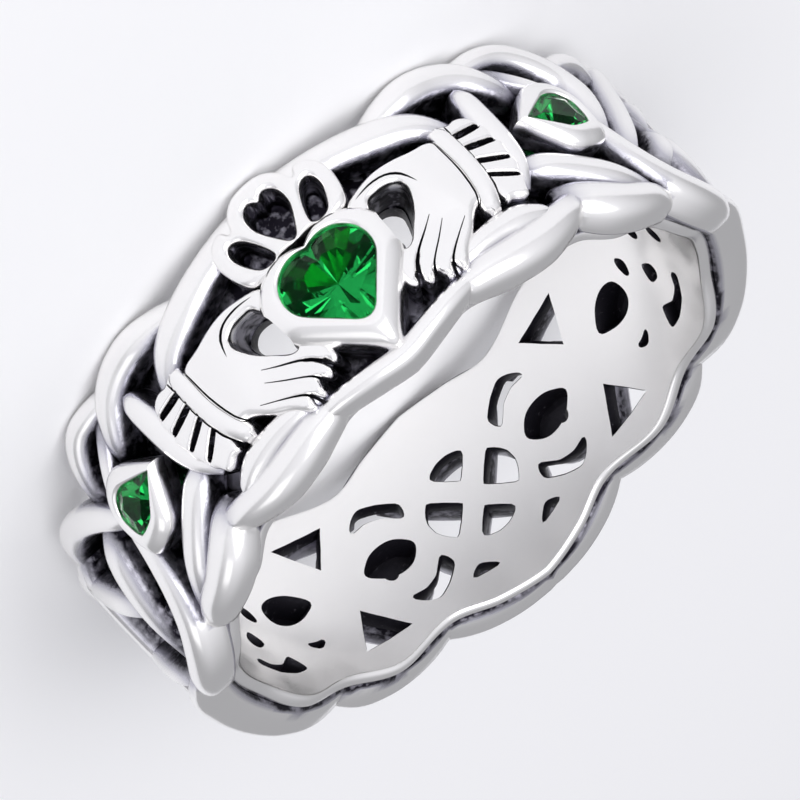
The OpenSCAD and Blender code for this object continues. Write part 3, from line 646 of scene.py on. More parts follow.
def heart_outline(spread, radius, lobe_y, tip_y, blunt, arc_steps=22):
    """A heart from its notch round the right lobe to the tip and back, its tip rounded off by a share."""
    notch_y = lobe_y - math.sqrt(radius ** 2 - spread ** 2)
    start = math.atan2(notch_y - lobe_y, -spread)
    end = math.atan2(tip_y - lobe_y, -spread) - math.acos(radius / math.hypot(spread, tip_y - lobe_y))
    right = []
    for i in range(1, arc_steps + 1):
        a = mix(start, end, i / arc_steps)
        right.append((spread + radius * math.cos(a), lobe_y + radius * math.sin(a)))
    last = right[-1]
    for i in range(1, FLANK_STEPS + 1):
        t = i * (1 - blunt) / FLANK_STEPS
        right.append((mix(last[0], 0, t), mix(last[1], tip_y, t)))
    x, y = right[-1]
    bend = [(x * (1 - t), y * (1 - t * t / 2 - (1 - t) * t) + tip_y * (t * t / 2 + (1 - t) * t))
            for t in (0.25, 0.5, 0.75)]
    right += bend
    return [(0, notch_y)] + right + [(0, (y + tip_y) / 2)] + [(-x, y) for x, y in reversed(right)]


# The round end of a pear is drawn out a little on its near side: direction and half width in degrees, share
# of the radius, and how sharply it fades to the sides
SECOND_CORNER = (48, 42, 0.24, 1.6)


def pear_outline(radius, reach, point_y, squash=1, arc_steps=40):
    """A pear with its point at -reach, and a small second corner on its round end."""
    distance = math.hypot(reach / squash, point_y)
    toward = math.atan2(point_y, -reach / squash)
    half = math.acos(radius / distance)
    direction, half_width, share, fade = SECOND_CORNER
    arc = []
    for i in range(arc_steps + 1):
        a = toward + half + (math.tau - 2 * half) * i / arc_steps
        beside = abs((math.degrees(a) - direction + 180) % 360 - 180) / half_width
        drawn = radius * (1 + share * max(1 - beside, 0) ** fade)
        arc.append((squash * drawn * math.cos(a), drawn * math.sin(a)))
    first, last = arc[0], arc[-1]
    point = (-reach, point_y)
    shares = [i / FLANK_STEPS for i in range(1, FLANK_STEPS)]
    down = [(mix(last[0], point[0], t), mix(last[1], point[1], t)) for t in shares]
    up = [(mix(point[0], first[0], t), mix(point[1], first[1], t)) for t in shares]
    return [point] + up + arc + down


# Rim of a setting: share of the way from the outer to the inner outline, height above the crest
RIM_PROFILE = [
    (0.06, -1.25), (0.03, -0.7), (0, -0.35), (0.01, -0.15), (0.05, 0.05), (0.12, 0.19), (0.22, 0.31),
    (0.34, 0.41), (0.47, 0.49), (0.6, 0.54), (0.72, 0.57), (0.83, 0.56), (0.92, 0.52), (0.98, 0.45),
    (1, 0.36), (1, 0.05), (1.2, -0.2), (1.2, -1.25)]
# The profile is drawn for a rim of this height above the crest
DRAWN_RISE = 0.55
# Lobe spread, lobe radius, lobe height, tip height, share of the tip that is rounded off
HEART_OUTER = (0.87, 1.4, 0.2, 3.16, 0.1)
HEART_INNER = (0.47, 0.93, 0.16, 2.16, 0.3)
HEART_RISE = 0.55
# Radius of the round end, reach of the point, height of the point, squash along the reach
PEAR_OUTER = (1.3, 1.66, -0.15, 0.8)
PEAR_INNER = (0.66, 1.33, -0.05, 1)
PEAR_ANGLE = 49.1
PEAR_HEIGHT = -0.28
PEAR_RISE = 0.3


def heart_level(share):
    return heart_outline(*[mix(a, b, share) for a, b in zip(HEART_OUTER, HEART_INNER)])


def pear_level(share, side):
    outline = pear_outline(*[mix(a, b, share) for a, b in zip(PEAR_OUTER, PEAR_INNER)])
    return [(side * (PEAR_ANGLE * MM_PER_DEGREE + x), PEAR_HEIGHT + y) for x, y in outline]


def setting(name, level, rise):
    bm = raise_outline([(level(share), lift * rise / DRAWN_RISE) for share, lift in RIM_PROFILE], True)
    keep_round(bm, name, "settings")


# Rooms for the settings end inside the settings' own walls
IN_WALL = 0.45
WELL_FLOOR, WELL_TOP = BORE_R - 0.4 - CREST_R, 1


def setting_well(name, level):
    bm = raise_outline([(level(IN_WALL), WELL_FLOOR), (level(IN_WALL), WELL_TOP)])
    keep_round(bm, name, "wells", BLACK)


setting("heart_setting", heart_level, HEART_RISE)
setting_well("heart_well", heart_level)
for side, side_name in SIDE_NAMES.items():
    setting(f"pear_setting_{side_name}", lambda share: pear_level(share, side), PEAR_RISE)
    setting_well(f"pear_well_{side_name}", lambda share: pear_level(share, side))
print("settings:", len(collection("settings").objects))

# %% [markdown]
# The crown and the hands were modelled in wax, with soft edges. Each form is cut out first, and a voxel
# remesh followed by a light smoothing rounds all its edges and corners at once, as a warm wax tool does.

# %% Soft forms of wax
WAX_VOXEL = 0.045
WAX_SMOOTHING = 8
# The remesh gives far more triangles than the form needs, and this share of them is kept
KEPT_SHARE = 0.3


def soften(made, voxel=WAX_VOXEL):
    remesh = made.modifiers.new("wax", "REMESH")
    remesh.mode = "VOXEL"
    remesh.voxel_size = voxel
    smooth = made.modifiers.new("smooth", "SMOOTH")
    smooth.factor = 0.5
    smooth.iterations = WAX_SMOOTHING
    thin = made.modifiers.new("thin", "DECIMATE")
    thin.ratio = KEPT_SHARE
    applied(made)


# A quarter round in four levels: way sideways and way below the top, as shares of its radius
QUARTER_ROUND = [(0, 1), (0.13, 0.5), (0.5, 0.13), (1, 0)]
# A tool ends this much above the form, in mm, after it has opened to its full width a little above it
CLEAR, PROUD = 0.6, 0.01


def round_edged(outline, low, rise, edge, way):
    """Levels from low to rise that end in a quarter round, outwards or inwards by its way, 1 or -1."""
    rounding = [(grown(outline, way * aside * edge), rise - down * edge) for aside, down in QUARTER_ROUND]
    return [(outline, low)] + rounding


def pad(name, outline, rise, edge):
    """A flat form from the root to a height above the crest, with an outline and a round edge."""
    return keep_round(raise_outline(round_edged(outline, ROOT_LIFT, rise, edge, -1)), name)


def hollow(name, outline, floor, rise, edge, group):
    """A tool that sinks an outline to a floor and rounds the edge of the form round it."""
    *levels, (wide, top) = round_edged(outline, floor, rise, edge, 1)
    levels += [(wide, top + PROUD), (wide, top + CLEAR)]
    keep_round(raise_outline(levels), name, group, BLACK)


def line_outline(course, side=1):
    """The outline of a line of changing width along a smooth course of angles and heights."""
    rows = [smooth_at(course, i / 3) for i in range(3 * len(course) - 2)]
    near, far = [], []
    for i, (x, y, width) in enumerate(rows):
        before, after = rows[max(i - 1, 0)], rows[min(i + 1, len(rows) - 1)]
        run, rise = (after[0] - before[0]) * MM_PER_DEGREE, after[1] - before[1]
        travel = math.hypot(run, rise)
        across, along = -width / 2 * rise / travel, width / 2 * run / travel
        near.append((side * (x * MM_PER_DEGREE + across), y + along))
        far.append((side * (x * MM_PER_DEGREE - across), y - along))
    return near + far[::-1]


def swell(made, angle, height, reach_angle, reach_height, by):
    """Pushes a soft form outwards round a point, by a distance that fades away from it."""
    for v in made.data.vertices:
        away = math.hypot((angle_of(v.co) - angle) / reach_angle, (v.co.z - height) / reach_height)
        if away < 1:
            scale = 1 + by * (1 - away * away) ** 2 / math.hypot(v.co.x, v.co.y)
            v.co.x, v.co.y = v.co.x * scale, v.co.y * scale


CROWN_HALF = [(3, -0.9), (7, -1.0), (9.6, -1.15), (10.9, -1.55), (11.4, -2.05), (11.2, -2.5), (10.0, -2.85),
              (8.3, -3.0), (7.1, -2.96), (6.3, -2.74), (5.5, -3.08), (3.8, -3.38), (1.6, -3.52)]
HEART_HOLE_HALF = [(0, -2.8), (1.2, -2.96), (2.6, -2.88), (3.3, -2.6), (3.1, -2.2), (1.7, -1.7), (0, -1.32)]
CROWN_HEART_HOLE = HEART_HOLE_HALF + [(-x, y) for x, y in HEART_HOLE_HALF[-2:0:-1]]
CROWN_SIDE_HOLE = [(7.3, -2.46), (8.4, -2.36), (8.6, -2.05), (7.6, -1.6), (6.2, -1.3), (3.9, -1.3),
                   (4.2, -1.7), (5.8, -2.28)]
CROWN_GAP = [(4, -1.2), (0, -1.2), (-4, -1.2), (-3, -0.8), (0, -0.5), (3, -0.8)]
CROWN_RISE = 0.2
CROWN_EDGE = 0.26
HOLE_EDGE = 0.2
GAP_EDGE = 0.08
# The oxidised floor of a hole is cut again this much wider, after the wax has been smoothed
FLOOR_MARGIN = 0.04
HOLE_FLOOR = SLEEVE_R + 0.15 - CREST_R
loose, fronts = bpy.context.scene.collection, collection("fronts")
crown_outline = CROWN_HALF + [(-x, y) for x, y in reversed(CROWN_HALF)]
crown = pad("crown", on_strip(crown_outline), CROWN_RISE, CROWN_EDGE)
for name, outline, side in (("crown_hole", CROWN_HEART_HOLE, 1), ("crown_hole_left", CROWN_SIDE_HOLE, -1),
                            ("crown_hole_right", CROWN_SIDE_HOLE, 1)):
    smooth = on_strip(outline, 0, side)
    hollow(name, smooth, HOLE_FLOOR, CROWN_RISE, HOLE_EDGE, "crown_holes")
    hollow(f"{name}_below", grown(smooth, FLOOR_MARGIN), HOLE_FLOOR, CROWN_RISE, 0, "holes_below")
hollow("crown_gap", on_strip(CROWN_GAP), HOLE_FLOOR, CROWN_RISE, GAP_EDGE, "crown_holes")
fuse(crown, "crown_holes", "DIFFERENCE")
soften(crown)
regroup(crown, loose, fronts)
print("crown faces:", len(crown.data.polygons))

# %% [markdown]
# A hand is one smooth form from the wrist to the finger tips, and the thumb is its far edge. The opening
# between thumb and palm goes right through the ring. Narrow black grooves part the fingers.

# %% Hands and cuffs
HAND = [
    (26.8, -1.0), (22, -1.28), (17, -1.4), (13, -1.32), (9, -1.05), (7.5, -0.5), (8, 0.6), (7.4, 1.3),
    (7.4, 1.95), (8.6, 2.08), (9.4, 1.8), (9.6, 2.2), (10.8, 2.28), (11.9, 2.02), (12.5, 2.42), (13.6, 2.48),
    (14.6, 2.2), (15.2, 2.52), (16.4, 2.5), (18.2, 2.12), (20.8, 1.75), (23.8, 1.25), (26.8, 1.0)]
HAND_RISE = 0.12
HAND_EDGE = 0.22
# Where the palm is fuller: angle, height, reach in degrees, reach along the finger in mm, and by how much
PALM = (21.5, 0.15, 6.5, 1.5, 0.14)
GROOVE_FLOOR, GROOVE_EDGE = -0.4, 0.06
# Courses of the lines between the fingers: angle, height, width in mm
FINGER_LINES = [
    [(17.2, 0.66, 0.02), (14.6, 1.0, 0.05), (12.2, 1.3, 0.07), (10.4, 1.62, 0.09), (9.0, 2.1, 0.14)],
    [(18.2, 0.98, 0.02), (15.6, 1.4, 0.04), (13.3, 1.74, 0.05), (12, 2.0, 0.07), (11.3, 2.4, 0.12)],
    [(21.0, 1.32, 0.02), (18.4, 1.64, 0.04), (16, 1.96, 0.06), (14.7, 2.2, 0.08), (14.1, 2.55, 0.13)],
]
THUMB_CREASE = [
    (10.5, -0.98), (13.5, -1.12), (16.6, -1.08), (18.6, -0.82), (19.4, -0.3), (18.3, -0.76), (16.4, -1.02),
    (13.5, -1.06)]
THUMB_OPENING = [
    (17.9, -0.5), (16.2, -0.8), (13.6, -0.82), (11.8, -0.7), (10.8, 0), (10.6, 0.9), (12, 0.98), (14, 0.66),
    (16.4, 0.16)]
THUMB_FLOOR, THUMB_EDGE = -1.5, 0.18
# The bar across the wrist is a strand, with the same columns
WRIST_BAR = [
    (27.9, -1.4, 0.12, 0.5), (27.7, -1.0, 0.3, 0.56), (27.6, 0, 0.34, 0.58), (26.8, 0.9, 0.32, 0.6),
    (25.2, 1.68, 0.16, 0.56)]
WRIST_CREASES = [
    [(26.1, -1.2, 0.02), (26, -0.8, 0.05), (25.8, 0, 0.06), (25, 0.9, 0.06), (23.5, 1.5, 0.03)],
    [(29.4, -1.3, 0.05), (29.3, -0.8, 0.07), (29.35, 0, 0.07), (28.6, 0.95, 0.07), (27.1, 1.6, 0.06)],
]
CUFF = [
    (28, -1.25), (30.3, -1.38), (32.2, -1.44), (34.1, -1.28), (34.8, -1.0), (35.5, -0.72), (35.2, -0.38),
    (35.8, -0.08), (35.3, 0.32), (35.3, 0.64), (34.5, 0.86), (34.1, 1.18), (33.2, 1.42), (32.2, 1.72),
    (30, 1.58), (28, 1.3)]
CUFF_RISE = 0.1
CUFF_EDGE = 0.2
# Slots of the cuff: height at the wrist, height at the hem, angle of the hem's end
CUFF_SLOTS = [(-0.9, -0.9, 34.6), (-0.44, -0.32, 34.9), (0.06, 0.36, 34.5), (0.6, 0.98, 33.6)]
SLOT_HALF = 0.085
SLOT_START = 29.2
SLOT_POINT = 0.6
SLOT_FLOOR, SLOT_EDGE = -0.4, 0.07
# The hands and cuffs are finer than the crown, and so is their wax
FINE_VOXEL = 0.04
# Creases are cut last and sharp, from their floors up to here
ABOVE_FRONT = 0.3
THUMB_CREASE_FLOOR, LINE_FLOOR, WRIST_FLOOR = 0.0, -0.35, -0.3
for side, side_name in SIDE_NAMES.items():
    hand = pad(f"hand_{side_name}", on_strip(HAND, 0, side), HAND_RISE, HAND_EDGE)
    tools = f"hand_tools_{side_name}"
    thumb_loop = on_strip(THUMB_OPENING, 0, side)
    hollow(f"thumb_loop_{side_name}", thumb_loop, THUMB_FLOOR, HAND_RISE, THUMB_EDGE, tools)
    for i, course in enumerate(FINGER_LINES):
        groove = line_outline(course, side)
        hollow(f"groove_{i}_{side_name}", groove, GROOVE_FLOOR, HAND_RISE, GROOVE_EDGE, tools)
    fuse(hand, tools, "DIFFERENCE")
    soften(hand, FINE_VOXEL)
    swell(hand, side * PALM[0], *PALM[1:])
    regroup(hand, loose, fronts)
    thumb_crease = on_strip(THUMB_CREASE, 0, side, 3)
    hollow(f"crease_{side_name}", thumb_crease, THUMB_CREASE_FLOOR, ABOVE_FRONT, 0, "creases")
    for i, course in enumerate(FINGER_LINES):
        line = line_outline(course, side)
        hollow(f"line_{i}_{side_name}", line, LINE_FLOOR, ABOVE_FRONT, 0, "creases")
    for i, course in enumerate(WRIST_CREASES):
        line = line_outline(course, side)
        hollow(f"wrist_crease_{i}_{side_name}", line, WRIST_FLOOR, ABOVE_FRONT, 0, "creases")
    strand(f"wrist_bar_{side_name}", placed(WRIST_BAR, 0, side), group="fronts")
    cuff = pad(f"cuff_{side_name}", on_strip(CUFF, 0, side), CUFF_RISE, CUFF_EDGE)
    tools = f"cuff_tools_{side_name}"
    for i, (wrist, hem, end) in enumerate(CUFF_SLOTS):
        corners = [(SLOT_START, wrist - SLOT_HALF), (end - SLOT_POINT, hem - SLOT_HALF), (end, hem),
                   (end - SLOT_POINT, hem + SLOT_HALF), (SLOT_START, wrist + SLOT_HALF)]
        slot = on_strip(corners, 0, side, 3)
        hollow(f"cuff_slot_{i}_{side_name}", slot, SLOT_FLOOR, CUFF_RISE, SLOT_EDGE, tools)
        hollow(f"cuff_line_{i}_{side_name}", slot, LINE_FLOOR, ABOVE_FRONT, 0, "creases")
    fuse(cuff, tools, "DIFFERENCE")
    soften(cuff, FINE_VOXEL)
    regroup(cuff, loose, fronts)
print("front forms:", len(collection("fronts").objects))

# %% [markdown]
# The back of a ring like this is pierced with a saw, from drilled holes, along the gaps of the knot.
# A cutter for each opening starts inside the finger hole. It is a little wider at the finger, where the
# maker breaks the sharp edge, and it leaves a black wall.

# %% Openings at the back, as angles from BACK and heights
SECTOR = [(-4.2, -1.2), (-2.2, -1.38), (0, -1.43), (2.2, -1.38), (4.2, -1.2), (0, -0.57)]
BOTH_RIM_OPENINGS = {
    "arc": [
        (13, -0.83), (12, -1.25), (15.5, -1.65), (19, -1.87), (21.5, -1.7), (23.5, -1.38), (19.8, -1.45),
        (16.5, -1.3)],
    "triangle": [(39.3, -2.12), (28, -2.05), (34, -0.95)],
}
BACK_OPENINGS = {
    "square": [(8, -0.68), (10.2, -0.3), (10.6, 0), (10.2, 0.3), (8, 0.72), (3, 0.03)],
    "small": [(11.5, 2.03), (8.8, 1.82), (5.7, 2.2)],
    "crescent": [(50.7, 1.2), (48.2, 1.26), (45.8, 1.24), (48.2, 1.47)],
    "long_crescent": [
        (70, 1.6), (68.7, 1.42), (66, 1.7), (62, 1.75), (58.3, 1.45), (56, 1.97), (60, 2.06), (65, 1.95)],
    "lens": [(58.2, -0.7), (60, -0.35), (58, 0.02), (57.2, -0.3)],
    "wedge": [(65.8, 0.65), (63.2, 0.3), (61.5, 0.8), (64.5, 0.95)],
}
SLOT = [(-0.9, 0.25), (-1.1, -0.3), (0.9, -0.25), (1.1, 0.3)]
SLOT_PLACES = [(57.8, -2.25), (63, -1.3), (69.3, -0.38), (75.8, 0.57)]
# Openings run out through the crest, but the slots stop under the strands, which cross over them, and the
# long crescents inside the sleeve
THROUGH = 0.9
SLOT_TOP = SLEEVE_R + 0.03 - CREST_R
TOPS = {"long_crescent": SLEEVE_R - 0.06 - CREST_R}
EYES = {
    "eye": [(27.3, 0), (25.6, -0.27), (23.5, -0.45), (21, -0.52), (18.5, -0.47), (16.6, -0.28), (15.4, 0),
            (16.6, 0.28), (18.5, 0.47), (21, 0.52), (23.5, 0.45), (25.6, 0.27)],
    "second_eye": [(53.8, -0.1), (53, -0.45), (50.5, -0.64), (47.5, -0.66), (44.5, -0.5), (41.8, -0.1),
                   (44.5, 0.18), (47.5, 0.33), (50.5, 0.35), (53, 0.2)],
}
# The eyes are blind and narrow towards their floor
EYE_TOP = SLEEVE_R + 0.3 - CREST_R
EYE_NARROWING = 0.12
# A hole drilled through the floor of each eye: angle, height, radius
EYE_DRILL = (23.2, 0.32, 0.26)
DRILL_SIDES = 24
# Cutters start this far inside the bore. The broken edge at the finger is this wide and this deep, in mm.
INSIDE_BORE = 0.3
AT_BORE = BORE_R - CREST_R
BROKEN_EDGE, BROKEN_DEPTH = 0.05, 0.08
# Corners are cut this far from their point in mm, and at most this share of a side
CORNER_CUT = 0.12
CORNER_SHARE = 0.35
# No corner of a cutter lies exactly on a corner of a strand, which the solver can stumble on
OFF_GRID = 0.0137


def rounded_corners(outline):
    """Cuts each corner of an outline at a short way before and after it, for a smooth curve to round."""
    count = len(outline)
    made = []
    for i, (x, y) in enumerate(outline):
        for k in (i - 1, (i + 1) % count):
            dx, dy = outline[k][0] - x, outline[k][1] - y
            share = min(CORNER_CUT / (math.hypot(dx, dy) or 1), CORNER_SHARE)
            made.append((x + share * dx, y + share * dy))
    return made


def cutter(name, outline, top=THROUGH, shrink=0.0, group="openings"):
    """A tool that opens an outline from the finger up to a top, where it may be smaller."""
    broken = grown(outline, BROKEN_EDGE)
    levels = [(broken, AT_BORE - INSIDE_BORE), (broken, AT_BORE), (outline, AT_BORE + BROKEN_DEPTH),
              (grown(outline, -shrink), top)]
    keep_round(raise_outline(levels), name, group, BLACK)


def pierce(name, outline, middle, side, flip=1, **options):
    """An opening with rounded corners, given as angles from a middle and heights."""
    corners = rounded_corners(in_mm(outline, middle + OFF_GRID, side, flip))
    cutter(name, smooth_outline(corners, 2), **options)


for flip, rim in ((-1, "near"), (1, "far")):
    pierce(f"sector_{rim}", SECTOR, BACK, 1, flip)
for side, side_name in SIDE_NAMES.items():
    for flip, rim in ((-1, "near"), (1, "far")):
        for name, outline in BOTH_RIM_OPENINGS.items():
            pierce(f"{name}_{side_name}_{rim}", outline, BACK, side, flip)
    for name, outline in BACK_OPENINGS.items():
        pierce(f"{name}_{side_name}", outline, BACK, side, top=TOPS.get(name, THROUGH))
    for i, (x, y) in enumerate(SLOT_PLACES):
        pierce(f"slot_{i}_{side_name}", [(x + a, y + b) for a, b in SLOT], BACK, side, top=SLOT_TOP)
    for name, outline in EYES.items():
        cutter(f"{name}_{side_name}", on_strip(outline, BACK, side), EYE_TOP, EYE_NARROWING)
    x, y, radius = EYE_DRILL
    middle = (BACK + side * x) * MM_PER_DEGREE
    turns = [math.tau * i / DRILL_SIDES for i in range(DRILL_SIDES)]
    drill = [(middle + radius * math.cos(a), y + radius * math.sin(a)) for a in turns]
    cutter(f"drill_{side_name}", drill)
    pierce(f"thumb_opening_{side_name}", THUMB_OPENING, 0, side, group="thumb_openings")
print("cutters:", len(collection("openings").objects))

# %% [markdown]
# Now the wax parts become one casting. The front forms are fused, creased, and given rooms for the
# settings. The sleeve takes up the strands of the back and is pierced. Then the front and the settings join
# it, and the openings between thumbs and palms are cut last, through everything.

# %% One casting
strands = collection("strands")
front = strands.objects["frame"]
regroup(front, strands, loose)
FRONT_NAMES = set(CENTRE_STRANDS) | {f"{n}_{s}" for n in PAIRED_STRANDS for s in SIDE_NAMES.values()}
FRONT_NAMES |= {f"{n}_right" for n in RIGHT_STRANDS} | {f"{n}_left" for n in LEFT_STRANDS}
for made in list(strands.objects):
    if made.name in FRONT_NAMES:
        regroup(made, strands, fronts)
fuse(front, "holes_below", "DIFFERENCE")
fuse(front, "fronts")
fuse(front, "creases", "DIFFERENCE")
fuse(front, "wells", "DIFFERENCE")
regroup(front, loose, collection("settings"))
ring = sleeve
fuse(ring, "strands")
fuse(ring, "openings", "DIFFERENCE")
fuse(ring, "settings")
fuse(ring, "thumb_openings", "DIFFERENCE")
ring.name = "knotwork_ring"

# %% [markdown]
# Where many forms meet, the solver leaves some corners side by side, with almost nothing between them. The
# real casting has no such seams, and slivers between the corners could spoil the shading. So corners that
# lie that close are merged into one.

# %% Corners that the solver left side by side
# Corners nearer than this, in mm, are one corner
WELD = 2e-5
bm = bmesh.new()
bm.from_mesh(ring.data)
bmesh.ops.remove_doubles(bm, verts=bm.verts, dist=WELD)
open_edges = sum(1 for edge in bm.edges if len(edge.link_faces) != 2)
bm.to_mesh(ring.data)
bm.free()
print("edges without two faces:", open_edges)

# %% [markdown]
# The bath blackens the whole casting, and the polishing wheel then clears what it can reach. So the border
# between bright and black lies at a certain radius: higher between the strands than in the groove at the
# sleeve's rims. An attribute on the mesh's own corners holds it, because it follows the form and needs no
# picture to be painted.

# %% Where the oxide stays
# Radii of the last bright point and the first black one, at the rims and between the strands
RIM_BRIGHT, RIM_BLACK = SLEEVE_R + 0.08, SLEEVE_R - 0.03
# Between the strands the bright border lies just under the crest, so the smallest shares there give the
# painted shade on the flanks, and only the deeper ones give black oxide
INNER_BRIGHT, INNER_BLACK = CREST_R - 0.02, CREST_R - 0.6
# Distances from the rims, in mm, between which one border turns into the other
RIM_START, RIM_END = -0.05, 0.35
# Nothing nearer the finger than this turns black
POLISHED_R = SLEEVE_R - 0.1
# Faces that meet at more than this many degrees meet at a sharp edge
SHARP_FROM = 38


def smoothstep(low, high, x):
    t = min(max((x - low) / (high - low), 0), 1)
    return t * t * (3 - 2 * t)


# The maker polishes the well under each stone, so that light comes back through it: x, z, radius, lowest z
BRIGHT_WELLS = [(0, 0.72, 1.45, -0.7), (-PEAR_ANGLE * MM_PER_DEGREE, PEAR_HEIGHT, 0.9, -1),
                (PEAR_ANGLE * MM_PER_DEGREE, PEAR_HEIGHT, 0.9, -1)]


def oxide_at(co):
    """Share of black at a point of the casting: deep between the strands, and in the groove at the rims."""
    radius = math.hypot(co.x, co.y)
    angle = angle_of(co)
    x = angle * MM_PER_DEGREE
    if radius <= POLISHED_R or any(
            math.hypot(x - at, co.z - z) < reach and co.z > low for at, z, reach, low in BRIGHT_WELLS):
        return 0
    near, far = rims_at(angle)
    inside = smoothstep(RIM_START, RIM_END, min(near - co.z, co.z - far))
    bright = mix(RIM_BRIGHT, INNER_BRIGHT, inside)
    black = mix(RIM_BLACK, INNER_BLACK, inside)
    return 1 - smoothstep(black, bright, radius)


mesh = ring.data
depth = mesh.attributes.new("oxide", "FLOAT", "POINT")
for v in mesh.vertices:
    depth.data[v.index].value = oxide_at(v.co)
    v.co.z = max(v.co.z, cad_box[0][2] / MM)
mesh.transform(Matrix.Scale(MM, 4))
mesh.shade_smooth()
mesh.set_sharp_from_angle(angle=math.radians(SHARP_FROM))
# The bore is a true round, but the triangles round its openings would show in its shading, so it gets the
# normals of a true round
normals = [corner.vector.copy() for corner in mesh.corner_normals]
round_bore = (BORE_R + 0.01) * MM
for polygon in mesh.polygons:
    if all(math.hypot(*mesh.vertices[i].co.xy) < round_bore for i in polygon.vertices):
        for k in polygon.loop_indices:
            co = mesh.vertices[mesh.loops[k].vertex_index].co
            normals[k] = Vector((-co.x, -co.y, 0)).normalized()
mesh.normals_split_custom_set(normals)
print("ring triangles:", sum(len(p.vertices) - 2 for p in mesh.polygons))
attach(ring, "root")
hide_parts("ring_body")

# %% [markdown]
# The stones are green crystal, cut on a lap: each facet is one flat, ground at a set tilt. So each
# stone starts as a block with the stone's outline, and every facet is one bisect_plane that takes away what
# lies above it. The heart is not convex, so one half is ground and then mirrored. The facets are polished
# like mirrors: some flash white, and through the others the facets below shine green.

# %% Cut stones
STONE_GREEN = "#1a9a46"
# The sheen is tinted too, or the white tent would lay a grey veil on the stone
STONE_SHEEN = "#2a8a48"
STONE_IOR = 1.75


def stone_material():
    material, tree = new_material("green_cut_crystal")
    shader = add(tree, "ShaderNodeBsdfPrincipled", {
        "Base Color": linear(STONE_GREEN), "Roughness": 0.0, "IOR": STONE_IOR, "Transmission Weight": 1.0,
        "Specular Tint": linear(STONE_SHEEN)})
    add(tree, "ShaderNodeOutputMaterial", Surface=shader.outputs[0])
    return material


stone_finish = stone_material()
GIRDLE_HALF = 0.03
# The table reaches this share of the way from the centre to the edge
TABLE_SHARE = 0.5
PAVILION_DEPTH = 1
# Every second crown facet is steeper by this factor
STEEPER = 1.35


def grind(bm, at, normal):
    """Takes away what lies on the normal's side of a plane, and closes the stone with the new facet."""
    bmesh.ops.bisect_plane(bm, geom=bm.verts[:] + bm.edges[:] + bm.faces[:], dist=1e-6, plane_co=at,
                           plane_no=normal, clear_outer=True)
    rim = [e for e in bm.edges if e.is_boundary]
    if rim:
        bmesh.ops.holes_fill(bm, edges=rim)


def support(outline, direction):
    """The farthest point of an outline in a direction."""
    return max(outline, key=lambda p: p[0] * direction[0] + p[1] * direction[1])


def cut_stone(outline, centre, girdle, table, directions):
    """A block with an outline, ground by crown and pavilion facets in the given directions."""
    bm = raise_outline([(outline, girdle - PAVILION_DEPTH - 0.1), (outline, table)])
    culet = Vector((*centre, girdle - PAVILION_DEPTH))
    rise = table - girdle - GIRDLE_HALF
    for k, degrees in enumerate(directions):
        a = math.radians(degrees)
        out = Vector((math.cos(a), math.sin(a), 0))
        along = Vector((-out.y, out.x, 0))
        x, y = support(outline, out)
        edge = Vector((x, y, girdle - GIRDLE_HALF))
        below = along.cross(culet - edge).normalized()
        grind(bm, edge, -below if below.z > 0 else below)
        reach = (Vector((x, y, 0)) - Vector((*centre, 0))).dot(out)
        tilt = math.atan2(rise, reach * (1 - TABLE_SHARE)) * (1 if k % 2 == 0 else STEEPER)
        above = out * math.sin(tilt) + Vector((0, 0, math.cos(tilt)))
        grind(bm, Vector((x, y, girdle + GIRDLE_HALF)), above)
    return bm


def set_stone(bm, name, node, angle=0, height=0, side=1):
    """Stands a stone upright in the crest at an angle from the heart, and hands it to the frame."""
    place = Matrix.Diagonal((side, 1, 1, 1)) @ Matrix.Rotation(math.radians(angle), 4, "Z")
    place = place @ Matrix.Translation((0, -CREST_R, height)) @ Matrix.Rotation(math.radians(90), 4, "X")
    bmesh.ops.transform(bm, matrix=Matrix.Scale(MM, 4) @ place, verts=bm.verts)
    bmesh.ops.remove_doubles(bm, verts=bm.verts, dist=1e-8)
    bmesh.ops.recalc_face_normals(bm, faces=bm.faces)
    stone = to_object(bm, name, (stone_finish,))
    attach(stone, "root")
    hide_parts(node)
    print(name, "has", len(stone.data.polygons), "faces")


# Outline as for the setting, the culet's place, lifts of the girdle and the table, directions of the facets
HEART_STONE = (0.47, 0.96, 0.16, 2.2, 0.3)
HEART_CENTRE = (0, 0.45)
HEART_LEVELS = (0.24, 0.54)
HEART_DIRECTIONS = [-120, -95, -70, -45, -20, 5, 28, 40]
# Corners this near to the middle, in mm, lie in it
IN_MIDDLE = 1e-5
half = [p for p in heart_outline(*HEART_STONE) if p[0] > -IN_MIDDLE]
bm = cut_stone(half, HEART_CENTRE, *HEART_LEVELS, HEART_DIRECTIONS)
middle_faces = [f for f in bm.faces if all(abs(v.co.x) < IN_MIDDLE for v in f.verts)]
bmesh.ops.delete(bm, geom=middle_faces, context="FACES")
bmesh.ops.mirror(bm, geom=bm.verts[:] + bm.edges[:] + bm.faces[:], matrix=Matrix.Identity(4),
                 merge_dist=IN_MIDDLE, axis="X")
set_stone(bm, "heart_cut_stone", "heart_stone")

PEAR_STONE = (0.69, 1.38, -0.05)
PEAR_CENTRE = (-0.1, 0)
PEAR_LEVELS = (0.1, 0.3)
PEAR_DIRECTIONS = [0, 30, 60, 90, 118, 180, 242, 270, 300, 330]
for side, side_name in SIDE_NAMES.items():
    bm = cut_stone(pear_outline(*PEAR_STONE), PEAR_CENTRE, *PEAR_LEVELS, PEAR_DIRECTIONS)
    set_stone(bm, f"pear_cut_stone_{side_name}", f"side_stone_{side_name}", PEAR_ANGLE, PEAR_HEIGHT, side)

# %% [markdown]
# The ring lies on its side on a white table, under a tent of soft white light, as for a shop's picture.
# The tent is bright in front of the heart and above it, and greyer behind, so that the strands show their
# round. A large soft lamp stands in front, and a weak one at the right brings out the far strands.

